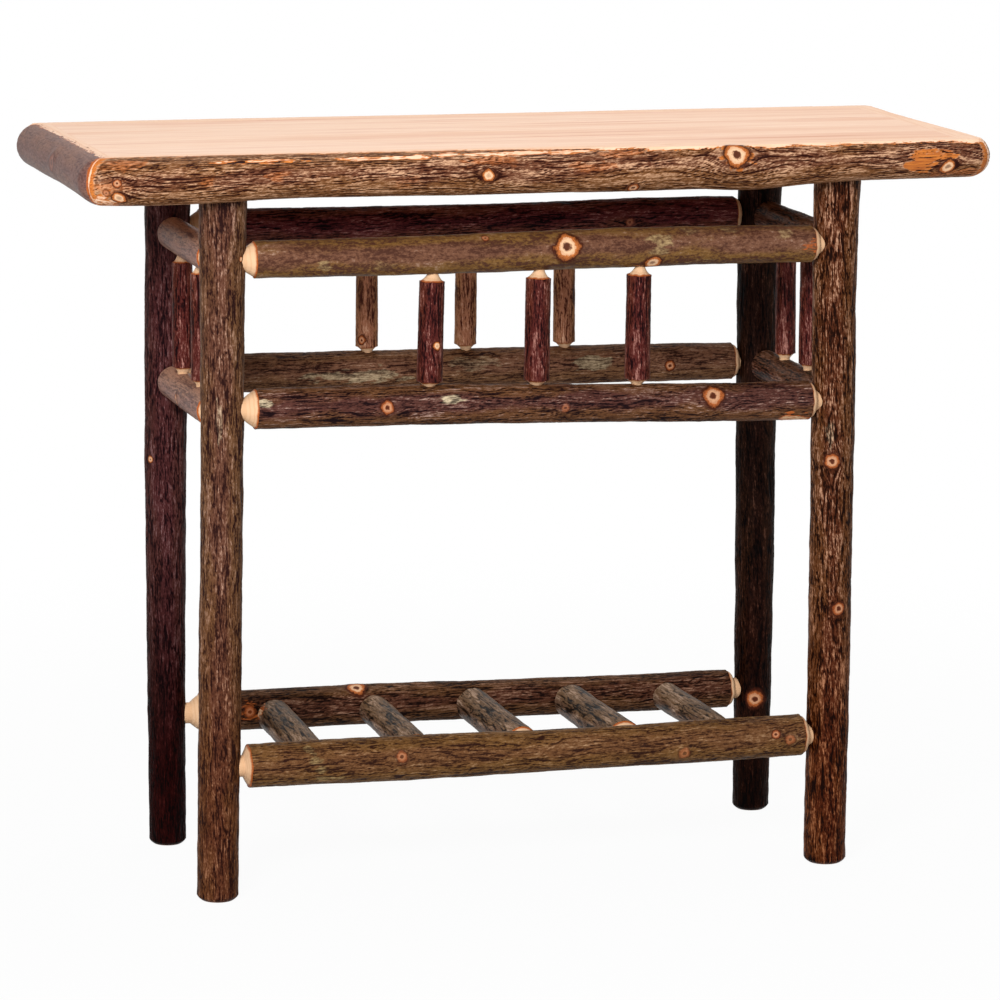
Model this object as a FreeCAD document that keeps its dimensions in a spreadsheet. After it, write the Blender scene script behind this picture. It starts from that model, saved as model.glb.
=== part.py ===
import FreeCAD, Part
import os

import Sketcher

# Rustic hickory serving table. Bark-covered poles with sharpened ends are glued into
# blind mortises, and a boarded top edged with sawn logs stands on the four legs.
# X runs along the length to the right, Y to the back and Z up. The origin lies on the
# floor under the middle of the table, and lengths are in millimetres.

SIZES = {
    # Boarded top and the logs round it
    "top_length": 1219.0,
    "top_depth": 462.0,
    "top_height": 977.0,
    "board_thickness": 38.0,
    "edge_log_width": 44.5,
    "edge_log_diameter": 62.0,
    "corner_radius": 32.0,
    "cut_overrun": 10.0,
    # Joints
    "glue_gap": 0.15,
    "tenon_wall": 2.0,
    # Legs
    "leg_inset": 193.5,
    "leg_diameter": 60.0,
    "leg_clearance": 0.5,
    "leg_lean": 3.3,
    "foot_chamfer": 6.0,
    "leg_tenon_diameter": 38.0,
    "leg_tenon_length": 26.0,
    # Long rails between the legs, at the front and back
    "upper_rail_drop": 101.5,
    "middle_rail_drop": 200.5,
    "shelf_rail_height": 175.5,
    "upper_rail_diameter": 49.5,
    "middle_rail_diameter": 51.5,
    "front_shelf_rail_diameter": 56.5,
    "back_shelf_rail_diameter": 52.5,
    "front_middle_rail_fall": 17.0,
    "back_middle_rail_fall": 8.0,
    "back_shelf_rail_fall": 6.0,
    "rail_outset": 5.0,
    "rail_tenon_diameter": 28.5,
    "left_bare_length": 14.0,
    "right_bare_length": 8.0,
    # Short rails between the legs, at the sides
    "left_middle_rail_drop": 199.0,
    "right_middle_rail_drop": 205.5,
    "side_rail_diameter": 43.5,
    "side_tenon_diameter": 22.0,
    "side_bare_length": 7.0,
    # Upright spindles between the upper and middle rails
    "front_spindle_diameter": 33.0,
    "back_spindle_diameter": 29.5,
    "side_spindle_diameter": 27.5,
    "spindle_tenon_diameter": 14.0,
    "spindle_tenon_depth": 14.0,
    "spindle_upper_bare": 9.5,
    "spindle_lower_bare": 6.5,
    # Rungs of the low shelf, from the front to the back
    "rung_diameter": 44.0,
    "rung_tenon_diameter": 20.0,
    "rung_tenon_depth": 16.0,
    "rung_bare_length": 8.0,
}

# Flat sides round the poles.
LEG_SIDES = 20
LONG_RAIL_SIDES = 18
SHORT_POLE_SIDES = 14
EDGE_LOG_SIDES = 24

# Every pole tapers, swells and bends a little. Girths are shares of its nominal
# diameter, and so are the sideways offsets of its centre line, ring by ring.
RING_SHARES = (0.0, 0.3, 0.6, 0.85, 1.0)
LEG_TOP_SHARE = 1.03
LEG_SHARES = {
    "leg_front_left": {
        "side": (-1, -1),
        "lean_share": 1.0,
        "girth_shares": (0.885, 0.915, 0.91, 0.96, LEG_TOP_SHARE),
        "bend_shares": (0.0, 0.02, 0.03, 0.01, 0.0),
    },
    "leg_front_right": {
        "side": (1, -1),
        "lean_share": -0.24,
        "girth_shares": (0.92, 0.93, 0.955, 0.965, LEG_TOP_SHARE),
        "bend_shares": (0.0, 0.012, 0.0, -0.02, 0.0),
    },
    "leg_back_left": {
        "side": (-1, 1),
        "lean_share": 0.33,
        "girth_shares": (0.815, 0.855, 0.935, 0.965, LEG_TOP_SHARE),
        "bend_shares": (0.0, -0.035, -0.045, -0.02, 0.0),
    },
    "leg_back_right": {
        "side": (1, 1),
        "lean_share": -0.36,
        "girth_shares": (0.825, 0.87, 0.915, 0.955, LEG_TOP_SHARE),
        "bend_shares": (0.0, 0.012, -0.015, -0.02, 0.0),
    },
}
RAIL_SHARES = {
    "front_upper_rail": {
        "girth_shares": (0.96, 1.0, 1.03, 1.0, 0.96),
        "drop_shares": (0.0, 0.01, -0.03, -0.03, 0.0),
        "bow_shares": (0.0, 0.0, 0.02, 0.02, 0.0),
    },
    "back_upper_rail": {
        "girth_shares": (1.03, 1.0, 0.97, 1.02, 0.98),
        "drop_shares": (0.0, 0.01, 0.03, 0.0, 0.0),
        "bow_shares": (0.0, -0.02, -0.03, 0.0, 0.0),
    },
    "front_middle_rail": {
        "girth_shares": (1.01, 1.01, 0.97, 0.98, 0.99),
        "drop_shares": (0.0, -0.02, -0.02, 0.01, 0.0),
        "bow_shares": (0.0, 0.0, -0.02, -0.02, 0.0),
    },
    "back_middle_rail": {
        "girth_shares": (1.02, 1.0, 1.01, 1.01, 0.97),
        "drop_shares": (0.0, 0.02, 0.0, -0.01, 0.0),
        "bow_shares": (0.0, 0.03, 0.02, 0.0, 0.0),
    },
    "front_shelf_rail": {
        "girth_shares": (1.0, 1.035, 0.965, 0.99, 0.97),
        "drop_shares": (0.0, 0.03, 0.035, 0.015, 0.0),
        "bow_shares": (0.0, 0.01, 0.0, -0.02, 0.0),
    },
    "back_shelf_rail": {
        "girth_shares": (1.02, 1.04, 0.98, 0.98, 0.99),
        "drop_shares": (0.0, -0.02, 0.0, 0.02, 0.0),
        "bow_shares": (0.0, 0.0, 0.03, 0.02, 0.0),
    },
}

# Spacing of the spindles and rungs, as shares of the legs' spacing, and their places
# as shares of it, counted from the middle. A spindle has its foot and its head, and a
# rung its front and its back.
SPINDLE_SPACING_SHARE = 0.1677
SIDE_SPINDLE_SPACING_SHARE = 0.3353
RUNG_SPACING_SHARE = 0.1695
SPINDLE_SHARES = {
    "front_spindle_1": (-1.013, -0.973),
    "front_spindle_2": (0.024, 0.049),
    "front_spindle_3": (1.008, 1.027),
    "back_spindle_1": (-0.999, -1.012),
    "back_spindle_2": (-0.01, -0.015),
    "back_spindle_3": (0.995, 0.973),
}
SIDE_SPINDLE_SHARES = {
    "left_spindle_1": (-0.471, -0.471),
    "left_spindle_2": (0.587, 0.587),
    "right_spindle_1": (-0.529, -0.529),
    "right_spindle_2": (0.407, 0.407),
}
RUNG_SHARES = {
    "shelf_rung_1": (-2.03, -1.968),
    "shelf_rung_2": (-1.016, -0.968),
    "shelf_rung_3": (0.028, 0.019),
    "shelf_rung_4": (1.013, 1.013),
    "shelf_rung_5": (2.0, 1.986),
}

# Short poles have three rings in their bark, at its start, middle and end.
SHORT_RING_SHARES = (0.0, 0.5, 1.0)
SPINDLE_POLE_SHARES = {
    "girth_shares": (1.02, 1.0, 0.98),
    "drop_shares": (0.02, 0.0, -0.02),
    "bow_shares": (0.01, 0.03, 0.02),
}
SIDE_RAIL_POLE_SHARES = {
    "girth_shares": (1.03, 1.01, 0.97),
    "drop_shares": (0.02, 0.04, 0.01),
    "bow_shares": (0.0, -0.02, 0.01),
}
RUNG_POLE_SHARES = {
    "shelf_rung_1": {
        "girth_shares": (1.0, 1.02, 1.03),
        "drop_shares": (0.02, -0.03, 0.0),
        "bow_shares": (0.0, 0.02, 0.02),
    },
    "shelf_rung_2": {
        "girth_shares": (0.97, 0.95, 0.93),
        "drop_shares": (0.0, -0.02, 0.01),
        "bow_shares": (0.02, 0.0, 0.0),
    },
    "shelf_rung_3": {
        "girth_shares": (1.02, 1.04, 1.05),
        "drop_shares": (0.02, 0.0, -0.02),
        "bow_shares": (0.0, 0.02, 0.01),
    },
    "shelf_rung_4": {
        "girth_shares": (1.08, 1.07, 1.05),
        "drop_shares": (0.0, 0.02, 0.01),
        "bow_shares": (-0.02, 0.0, 0.02),
    },
    "shelf_rung_5": {
        "girth_shares": (0.84, 0.86, 0.9),
        "drop_shares": (0.01, -0.02, 0.02),
        "bow_shares": (0.0, 0.02, 0.0),
    },
}

# Boards from the front to the back, as shares of the panel's depth.
BOARD_SHARES = (0.27, 0.22, 0.24, 0.27)

# Logs round the top, ring by ring: their girth, and the depth planed off above, both
# as shares of the diameter. Each list runs anticlockwise as seen from above.
EDGE_LOG_SHARES = {
    "front_edge_log": {
        "girth_shares": (0.99, 0.95, 0.98, 1.01, 0.93),
        "planed": (0.03, 0.03, 0.05, 0.06, 0.13),
    },
    "right_edge_log": {
        "girth_shares": (0.93, 0.97, 1.0, 0.98, 0.97),
        "planed": (0.13, 0.07, 0.04, 0.03, 0.04),
    },
    "back_edge_log": {
        "girth_shares": (0.97, 1.02, 0.97, 1.0, 0.97),
        "planed": (0.04, 0.05, 0.03, 0.06, 0.04),
    },
    "left_edge_log": {
        "girth_shares": (0.97, 0.98, 1.02, 1.0, 0.99),
        "planed": (0.04, 0.03, 0.04, 0.03, 0.03),
    },
}

# Places shared by several pieces, as expressions over the sheet of sizes.
HALF_LENGTH = "Sizes.top_length / 2"
HALF_DEPTH = "Sizes.top_depth / 2"
PANEL_HALF_LENGTH = f"({HALF_LENGTH} - Sizes.edge_log_width)"
PANEL_HALF_DEPTH = f"({HALF_DEPTH} - Sizes.edge_log_width)"
PANEL_UNDERSIDE = "(Sizes.top_height - Sizes.board_thickness)"
CUT_DEPTH = "(Sizes.edge_log_diameter + Sizes.cut_overrun)"
LEG_RADIUS = "Sizes.leg_diameter / 2"
LEG_X = f"({HALF_LENGTH} - Sizes.leg_inset)"
LEG_Y = f"({PANEL_HALF_DEPTH} - Sizes.leg_clearance - {LEG_RADIUS} * {LEG_TOP_SHARE})"
OUTER_RAIL_Y = f"({LEG_Y} + Sizes.rail_outset)"
UPPER_RAIL_Z = f"({PANEL_UNDERSIDE} - Sizes.upper_rail_drop)"
SPINDLE_SPACING = f"{LEG_X} * {2 * SPINDLE_SPACING_SHARE}"
SIDE_SPINDLE_SPACING = f"{LEG_Y} * {2 * SIDE_SPINDLE_SPACING_SHARE}"
RUNG_SPACING = f"{LEG_X} * {2 * RUNG_SPACING_SHARE}"


def signed(side, expression):
    """An expression with the sign of a side, which is minus one or plus one."""
    return f"{side} * ({expression})"


def add_sheet(doc):
    """The sheet of driving sizes, one aliased cell for each."""
    sheet = doc.addObject("Spreadsheet::Sheet", "Sizes")
    for row, (name, number) in enumerate(SIZES.items(), start=1):
        sheet.set(f"A{row}", name)
        sheet.set(f"B{row}", str(number))
        sheet.setAlias(f"B{row}", name)
    doc.recompute()


def add_sketch(body, name, role):
    """An empty sketch on one of the body's own origin planes."""
    plane = next(item for item in body.Origin.OriginFeatures if item.Role == role)
    sketch = body.newObject("Sketcher::SketchObject", name)
    sketch.AttachmentSupport = [(plane, "")]
    sketch.MapMode = "FlatFace"
    return sketch


def bind(sketch, constraint, expression):
    """Add a dimension and tie it to an expression."""
    index = sketch.addConstraint(constraint)
    sketch.setExpression(f"Constraints[{index}]", expression)


def add_ring(doc, name, sides, centre, radius):
    """A many-sided ring square to Z, its centre and radius given as expressions."""
    ring = doc.addObject("Part::RegularPolygon", name)
    ring.Polygon = sides
    ring.setExpression("Circumradius", radius)
    for axis, place in zip("xyz", centre):
        ring.setExpression(f"Placement.Base.{axis}", place)
    return ring


def add_outline(body, name, role, corners):
    """A closed outline of straight lines through corners given as expressions."""
    sketch = add_sketch(body, name, role)
    numbers = [[float(sketch.evalExpression(part)) for part in corner] for corner in corners]
    points = [FreeCAD.Vector(x, y, 0) for x, y in numbers]
    count = len(points)
    for index in range(count):
        sketch.addGeometry(Part.LineSegment(points[index], points[(index + 1) % count]))
    for index in range(count):
        following = (index + 1) % count
        sketch.addConstraint(Sketcher.Constraint("Coincident", index, 2, following, 1))
    for index, corner in enumerate(corners):
        for kind, expression, number in zip(("DistanceX", "DistanceY"), corner, numbers[index]):
            bind(sketch, Sketcher.Constraint(kind, -1, 1, index, 1, number), expression)
    return sketch


def add_skin(doc, name, rings):
    """A solid of flat facets from ring to ring, which a loft would leave curved."""
    doc.recompute()
    corners = [[vertex.Point for vertex in ring.Shape.OrderedVertexes] for ring in rings]
    outlines = [corners[0], corners[-1]]
    for lower, upper in zip(corners, corners[1:]):
        for index in range(len(lower)):
            outlines.append([lower[index - 1], lower[index], upper[index], upper[index - 1]])
    faces = [Part.Face(Part.makePolygon(outline + outline[:1])) for outline in outlines]
    shell = Part.makeShell(faces)
    shell.sewShape()
    skin = doc.addObject("Part::Feature", name)
    skin.Shape = Part.makeSolid(shell)
    return skin


def add_pad(body, name, sketch, length):
    """A flat sketch given a thickness along the body's Z axis."""
    pad = body.newObject("PartDesign::Pad", name)
    pad.Profile = sketch
    pad.setExpression("Length", length)
    return pad


def add_bore(doc, name, sides, start, end, tenon_diameter):
    """The space of a pole's two mortises, from the bottom of one to the other's."""
    run = [f"({last}) - ({first})" for first, last in zip(start, end)]
    yaw = f"atan2({run[1]}; {run[0]})"
    pitch = f"atan2(hypot({run[0]}; {run[1]}); {run[2]})"
    bore = doc.addObject("Part::Prism", f"{name}_bore")
    bore.Polygon = sides
    bore.setExpression("Circumradius", f"Sizes.{tenon_diameter} / 2 + Sizes.glue_gap")
    bore.setExpression("Height", f"hypot({run[0]}; {run[1]}; {run[2]})")
    bore.setExpression(
        "Placement",
        f"create(<<Placement>>; create(<<Vector>>; {start[0]}; {start[1]}; {start[2]});"
        f" create(<<Rotation>>; {yaw}; {pitch}; 0 deg))",
    )
    doc.recompute()
    return bore


def add_pole(doc, name, bore, tenon_diameter, ends, diameter, shares):
    """A pole from tenon tip to tenon tip, with its bark between two sharpened ends.

    Each end is given as the depth of its mortise and the bare length from there to
    the bark. The bark's rings swell and wander by their shares of the diameter.
    """
    reach = dict(bore.ExpressionEngine)["Height"]
    (first_depth, first_bare), (last_depth, last_bare) = ends
    bark_start = f"({first_depth} + {first_bare})"
    bark_end = f"({reach} - ({last_depth} + {last_bare}))"
    along_shares = SHORT_RING_SHARES if len(shares["girth_shares"]) == 3 else RING_SHARES

    tenon = f"Sizes.{tenon_diameter} / 2"
    heights = ["Sizes.glue_gap", first_depth]
    rings = [(("0", "0", height), tenon) for height in heights]
    for index, along in enumerate(along_shares):
        centre = (
            f"Sizes.{diameter} * {shares['drop_shares'][index]}",
            f"Sizes.{diameter} * {shares['bow_shares'][index]}",
            f"{bark_start} * {1 - along} + {bark_end} * {along}",
        )
        rings.append((centre, f"Sizes.{diameter} / 2 * {shares['girth_shares'][index]}"))
    heights = [f"{reach} - ({last_depth})", f"{reach} - Sizes.glue_gap"]
    rings += [(("0", "0", height), tenon) for height in heights]

    rings = [
        add_ring(doc, f"{name}_ring_{index}", bore.Polygon, *ring)
        for index, ring in enumerate(rings)
    ]
    pole = add_skin(doc, name, rings)
    pole.setExpression("Placement", f"{bore.Name}.Placement")
    return pole


def add_mortises(doc, name, blank, bores):
    """A piece with the spaces for its neighbours' tenons taken out of it."""
    blank.Label = f"{name}_blank"
    tool = bores[0]
    if len(bores) > 1:
        tool = doc.addObject("Part::MultiFuse", f"{name}_bores")
        tool.Shapes = bores
    piece = doc.addObject("Part::Cut", name)
    piece.Base = blank
    piece.Tool = tool
    return piece


def rail_height(name, x):
    """Height of a long rail's axis at a place along the table."""
    height = "Sizes.shelf_rail_height"
    if name.endswith("upper_rail"):
        height = UPPER_RAIL_Z
    if name.endswith("middle_rail"):
        height = f"{UPPER_RAIL_Z} - Sizes.middle_rail_drop"
    fall = f"{name}_fall"
    if fall not in SIZES:
        return f"({height})"
    return f"({height} - Sizes.{fall} * ({x}) / (2 * {LEG_X}))"


def rail_diameter(name):
    """Name of the size that holds a long rail's diameter."""
    own = f"{name}_diameter"
    return own if own in SIZES else name.split("_", 1)[1] + "_diameter"


def rail_place(name):
    """A long rail's place across the table, at the front or at the back."""
    place = LEG_Y if name.endswith("shelf_rail") else OUTER_RAIL_Y
    return signed(-1 if name.startswith("front") else 1, place)


def add_long_rails(doc):
    """The six rails along the table, each with the bore of its two mortises."""
    rails = {}
    bores = {}
    for name, shares in RAIL_SHARES.items():
        ends = [(x, rail_place(name), rail_height(name, x)) for x in (signed(-1, LEG_X), LEG_X)]
        bore = add_bore(doc, name, LONG_RAIL_SIDES, *ends, "rail_tenon_diameter")
        bare = [(LEG_RADIUS, f"Sizes.{side}_bare_length") for side in ("left", "right")]
        rails[name] = add_pole(
            doc, f"{name}_blank", bore, "rail_tenon_diameter", bare, rail_diameter(name), shares
        )
        bores[name] = bore
    return rails, bores


def side_rail_height(name):
    """Height of a short rail's axis."""
    if name.endswith("upper_rail"):
        return UPPER_RAIL_Z
    return f"({UPPER_RAIL_Z} - Sizes.{name}_drop)"


def add_side_rails(doc):
    """The four short rails, whose tenons stop short of the long rails' tenons."""
    reach = f"{OUTER_RAIL_Y} - Sizes.rail_tenon_diameter / 2 - Sizes.tenon_wall"
    depth = f"({reach} - {LEG_Y} + {LEG_RADIUS})"
    rails = {}
    bores = {}
    for side, row in ((-1, "left"), (1, "right")):
        for kind in ("upper_rail", "middle_rail"):
            name = f"{row}_{kind}"
            height = side_rail_height(name)
            ends = [(signed(side, LEG_X), signed(end, reach), height) for end in (-1, 1)]
            bore = add_bore(doc, name, SHORT_POLE_SIDES, *ends, "side_tenon_diameter")
            rails[name] = add_pole(
                doc,
                f"{name}_blank",
                bore,
                "side_tenon_diameter",
                [(depth, "Sizes.side_bare_length")] * 2,
                "side_rail_diameter",
                SIDE_RAIL_POLE_SHARES,
            )
            bores[name] = bore
    return rails, bores


def add_spindle(doc, name, bore, diameter):
    """An upright spindle, a little thinner at its head."""
    ends = [
        ("Sizes.spindle_tenon_depth", "Sizes.spindle_lower_bare"),
        ("Sizes.spindle_tenon_depth", "Sizes.spindle_upper_bare"),
    ]
    tenon = "spindle_tenon_diameter"
    return add_pole(doc, name, bore, tenon, ends, diameter, SPINDLE_POLE_SHARES)


def add_long_spindles(doc):
    """Three spindles at the front and three at the back."""
    spindles = {}
    bores = {}
    for name, shares in SPINDLE_SHARES.items():
        row = name.split("_")[0]
        lower = f"{row}_middle_rail"
        upper = f"{row}_upper_rail"
        foot_x, head_x = [f"{SPINDLE_SPACING} * {share}" for share in shares]
        rest = f"Sizes.{rail_diameter(lower)} / 2 - Sizes.spindle_tenon_depth"
        hang = f"Sizes.{rail_diameter(upper)} / 2 - Sizes.spindle_tenon_depth"
        foot = (foot_x, rail_place(lower), f"{rail_height(lower, foot_x)} + {rest}")
        head = (head_x, rail_place(upper), f"{rail_height(upper, head_x)} - ({hang})")
        bore = add_bore(doc, name, SHORT_POLE_SIDES, foot, head, "spindle_tenon_diameter")
        spindles[name] = add_spindle(doc, name, bore, f"{row}_spindle_diameter")
        bores[name] = bore
    return spindles, bores


def add_side_spindles(doc):
    """Two spindles at each side."""
    spindles = {}
    bores = {}
    set_in = "(Sizes.side_rail_diameter / 2 - Sizes.spindle_tenon_depth)"
    for name, shares in SIDE_SPINDLE_SHARES.items():
        row = name.split("_")[0]
        x = signed(-1 if row == "left" else 1, LEG_X)
        foot_y, head_y = [f"{SIDE_SPINDLE_SPACING} * {share}" for share in shares]
        foot = (x, foot_y, f"{side_rail_height(row + '_middle_rail')} + {set_in}")
        head = (x, head_y, f"{side_rail_height(row + '_upper_rail')} - {set_in}")
        bore = add_bore(doc, name, SHORT_POLE_SIDES, foot, head, "spindle_tenon_diameter")
        spindles[name] = add_spindle(doc, name, bore, "side_spindle_diameter")
        bores[name] = bore
    return spindles, bores


def add_rungs(doc):
    """Five rungs between the two shelf rails."""
    rungs = {}
    bores = {}
    for name, shares in RUNG_SHARES.items():
        ends = []
        for row, side, share in zip(("front", "back"), (-1, 1), shares):
            rail = f"{row}_shelf_rail"
            x = f"{RUNG_SPACING} * {share}"
            radius = f"Sizes.{rail_diameter(rail)} / 2"
            y = f"{LEG_Y} - {radius} + Sizes.rung_tenon_depth"
            ends.append((x, signed(side, y), rail_height(rail, x)))
        bore = add_bore(doc, name, SHORT_POLE_SIDES, *ends, "rung_tenon_diameter")
        bare = [("Sizes.rung_tenon_depth", "Sizes.rung_bare_length")] * 2
        rungs[name] = add_pole(
            doc, name, bore, "rung_tenon_diameter", bare, "rung_diameter", RUNG_POLE_SHARES[name]
        )
        bores[name] = bore
    return rungs, bores


def add_leg(doc, name, shares):
    """A leg from its chamfered foot to the tenon that enters the boards.

    Returns the leg's blank and the bore of its tenon.
    """
    x = signed(shares["side"][0], LEG_X)
    y = signed(shares["side"][1], LEG_Y)
    tenon = "Sizes.leg_tenon_diameter / 2"
    sole = f"{LEG_RADIUS} * {shares['girth_shares'][0]} - Sizes.foot_chamfer"
    foot_x = f"{x} - Sizes.leg_lean * {shares['lean_share']}"
    head_x = f"{x} + Sizes.leg_lean * {shares['lean_share']}"

    rings = [((foot_x, y, "0"), sole)]
    for index, along in enumerate(RING_SHARES):
        bend = f"Sizes.leg_diameter * {shares['bend_shares'][index]}"
        centre = (
            f"({foot_x}) * {1 - along} + ({head_x}) * {along} + {bend}",
            y,
            f"Sizes.foot_chamfer * {1 - along} + {PANEL_UNDERSIDE} * {along}",
        )
        rings.append((centre, f"{LEG_RADIUS} * {shares['girth_shares'][index]}"))
    for rise in (PANEL_UNDERSIDE, f"{PANEL_UNDERSIDE} + Sizes.leg_tenon_length"):
        rings.append(((head_x, y, rise), tenon))
    rings = [
        add_ring(doc, f"{name}_ring_{index}", LEG_SIDES, *ring)
        for index, ring in enumerate(rings)
    ]
    blank = add_skin(doc, f"{name}_blank", rings)

    bore = doc.addObject("Part::Prism", f"{name}_bore")
    bore.Polygon = LEG_SIDES
    bore.setExpression("Circumradius", f"{tenon} + Sizes.glue_gap")
    bore.setExpression("Height", "Sizes.leg_tenon_length + Sizes.glue_gap")
    for axis, place in zip("xyz", (head_x, y, PANEL_UNDERSIDE)):
        bore.setExpression(f"Placement.Base.{axis}", place)
    return blank, bore


def add_boards(doc, leg_bores):
    """The glued boards of the top, the outer two with the mortises of the legs."""
    boards = {}
    start = 0.0
    for index, share in enumerate(BOARD_SHARES, start=1):
        name = f"top_board_{index}"
        outer = index in (1, len(BOARD_SHARES))
        blank = doc.addObject("Part::Box", f"{name}_blank" if outer else name)
        width = f"{PANEL_HALF_DEPTH} * 2 * {share}"
        blank.setExpression("Length", f"{PANEL_HALF_LENGTH} * 2")
        blank.setExpression("Width", f"{width} - Sizes.glue_gap")
        blank.setExpression("Height", "Sizes.board_thickness")
        blank.setExpression("Placement.Base.x", f"-1 * {PANEL_HALF_LENGTH}")
        blank.setExpression(
            "Placement.Base.y",
            f"{PANEL_HALF_DEPTH} * {2 * start - 1} + Sizes.glue_gap / 2",
        )
        blank.setExpression("Placement.Base.z", PANEL_UNDERSIDE)
        boards[name] = blank
        if outer:
            row = "front" if index == 1 else "back"
            bores = [bore for leg, bore in leg_bores.items() if row in leg]
            boards[name] = add_mortises(doc, name, blank, bores)
        start += share
    return boards


def add_top_outline(doc):
    """A block with the whole top's outline and rounded corners, deeper than its logs."""
    body = doc.addObject("PartDesign::Body", "top_outline")
    body.setExpression("Placement.Base.x", f"-1 * {HALF_LENGTH}")
    body.setExpression("Placement.Base.y", f"-1 * {HALF_DEPTH}")
    body.setExpression("Placement.Base.z", f"Sizes.top_height - {CUT_DEPTH}")
    corners = [
        ("0", "0"),
        ("Sizes.top_length", "0"),
        ("Sizes.top_length", "Sizes.top_depth"),
        ("0", "Sizes.top_depth"),
    ]
    sketch = add_outline(body, "top_outline_sketch", "XY_Plane", corners)
    pad = add_pad(body, "top_outline_pad", sketch, CUT_DEPTH)
    doc.recompute()
    upright = [
        f"Edge{index}"
        for index, edge in enumerate(pad.Shape.Edges, start=1)
        if edge.BoundBox.ZLength > max(edge.BoundBox.XLength, edge.BoundBox.YLength)
    ]
    corner = body.newObject("PartDesign::Fillet", "top_outline_corners")
    corner.Base = (pad, upright)
    corner.setExpression("Radius", "Sizes.corner_radius")
    body.Tip = corner
    return body


def add_edge_log(doc, name, length, corner, turn, shares, outline):
    """A log round the top, sawn flat inside, planed above and mitred at both ends.

    It is laid out along X from its outer corner, with Y inwards, and turned into place.
    """
    place = f"create(<<Vector>>; {corner[0]}; {corner[1]}; Sizes.top_height"
    upright = f"create(<<Rotation>>; {turn} deg; 0 deg; 0 deg)"
    lying = f"create(<<Rotation>>; {turn + 90} deg; 0 deg; 90 deg)"

    wedge = doc.addObject("PartDesign::Body", f"{name}_wedge")
    wedge.setExpression(
        "Placement", f"create(<<Placement>>; {place} - {CUT_DEPTH}); {upright})"
    )
    depth = "Sizes.edge_log_width - Sizes.glue_gap"
    corners = [
        ("Sizes.glue_gap", "0"),
        (f"{length} - Sizes.glue_gap", "0"),
        (f"{length} - Sizes.edge_log_width", depth),
        ("Sizes.edge_log_width", depth),
    ]
    sketch = add_outline(wedge, f"{name}_wedge_sketch", "XY_Plane", corners)
    add_pad(wedge, f"{name}_wedge_pad", sketch, CUT_DEPTH)

    rings = []
    for index, along in enumerate(RING_SHARES):
        radius = f"Sizes.edge_log_diameter / 2 * {shares['girth_shares'][index]}"
        planed = f"Sizes.edge_log_diameter * {shares['planed'][index]}"
        centre = (radius, f"{planed} - {radius}", f"{length} * {along}")
        rings.append(add_ring(doc, f"{name}_ring_{index}", EDGE_LOG_SIDES, centre, radius))
    round_log = add_skin(doc, f"{name}_round", rings)
    round_log.setExpression("Placement", f"create(<<Placement>>; {place}); {lying})")

    block = add_common(doc, f"{name}_block", wedge, outline)
    return add_common(doc, name, round_log, block)


def add_common(doc, name, base, tool):
    """What two solids have in common."""
    common = doc.addObject("Part::Common", name)
    common.Base = base
    common.Tool = tool
    common.Refine = False
    return common


def add_edge_logs(doc):
    """The four logs round the top, each turned a quarter further than the last."""
    outline = add_top_outline(doc)
    left, right = signed(-1, HALF_LENGTH), HALF_LENGTH
    front, back = signed(-1, HALF_DEPTH), HALF_DEPTH
    layout = {
        "front_edge_log": ("Sizes.top_length", (left, front), 0),
        "right_edge_log": ("Sizes.top_depth", (right, front), 90),
        "back_edge_log": ("Sizes.top_length", (right, back), 180),
        "left_edge_log": ("Sizes.top_depth", (left, back), 270),
    }
    return {
        name: add_edge_log(doc, name, *layout[name], shares, outline)
        for name, shares in EDGE_LOG_SHARES.items()
    }


def chosen(bores, word):
    """The bores of the poles whose names hold a word."""
    return [bore for name, bore in bores.items() if word in name]


def add_legs(doc, rail_bores, side_bores):
    """The four legs with the mortises of the rails that meet them."""
    legs = {}
    leg_bores = {}
    for name, shares in LEG_SHARES.items():
        _, row, side = name.split("_")
        blank, leg_bores[name] = add_leg(doc, name, shares)
        bores = chosen(rail_bores, row) + chosen(side_bores, side)
        legs[name] = add_mortises(doc, name, blank, bores)
    return legs, leg_bores


def build(doc):
    """Every sub-part of the table by its name."""
    add_sheet(doc)
    rails, rail_bores = add_long_rails(doc)
    side_rails, side_bores = add_side_rails(doc)
    spindles, spindle_bores = add_long_spindles(doc)
    side_spindles, side_spindle_bores = add_side_spindles(doc)
    rungs, rung_bores = add_rungs(doc)
    legs, leg_bores = add_legs(doc, rail_bores, side_bores)

    parts = {**legs, **spindles, **side_spindles, **rungs}
    for name, blank in rails.items():
        row = name.split("_")[0]
        on_shelf = name.endswith("shelf_rail")
        bores = list(rung_bores.values()) if on_shelf else chosen(spindle_bores, row)
        parts[name] = add_mortises(doc, name, blank, bores)
    for name, blank in side_rails.items():
        row = name.split("_")[0]
        parts[name] = add_mortises(doc, name, blank, chosen(side_spindle_bores, row))
    parts.update(add_boards(doc, leg_bores))
    parts.update(add_edge_logs(doc))
    return parts


def check(doc, parts):
    """Stop where an object failed or a sub-part isn't one valid solid."""
    failed = [item.Name for item in doc.Objects if {"Invalid", "Error"} & set(item.State)]
    if failed:
        raise RuntimeError(f"objects that failed to build: {failed}")
    for name, part in parts.items():
        shape = part.Shape
        if shape.isNull() or not shape.isValid() or len(shape.Solids) != 1:
            raise RuntimeError(f"{name} isn't one valid solid")


def main():
    doc = FreeCAD.newDocument("hickory_table")
    parts = build(doc)
    doc.recompute()
    check(doc, parts)
    os.makedirs("parts", exist_ok=True)
    for name, part in parts.items():
        part.Label = name
        part.Shape.exportStep(f"parts/{name}.step")


main()
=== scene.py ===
import itertools
import math
from collections import namedtuple

import bpy
import numpy as np
from mathutils import Matrix, Vector


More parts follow.
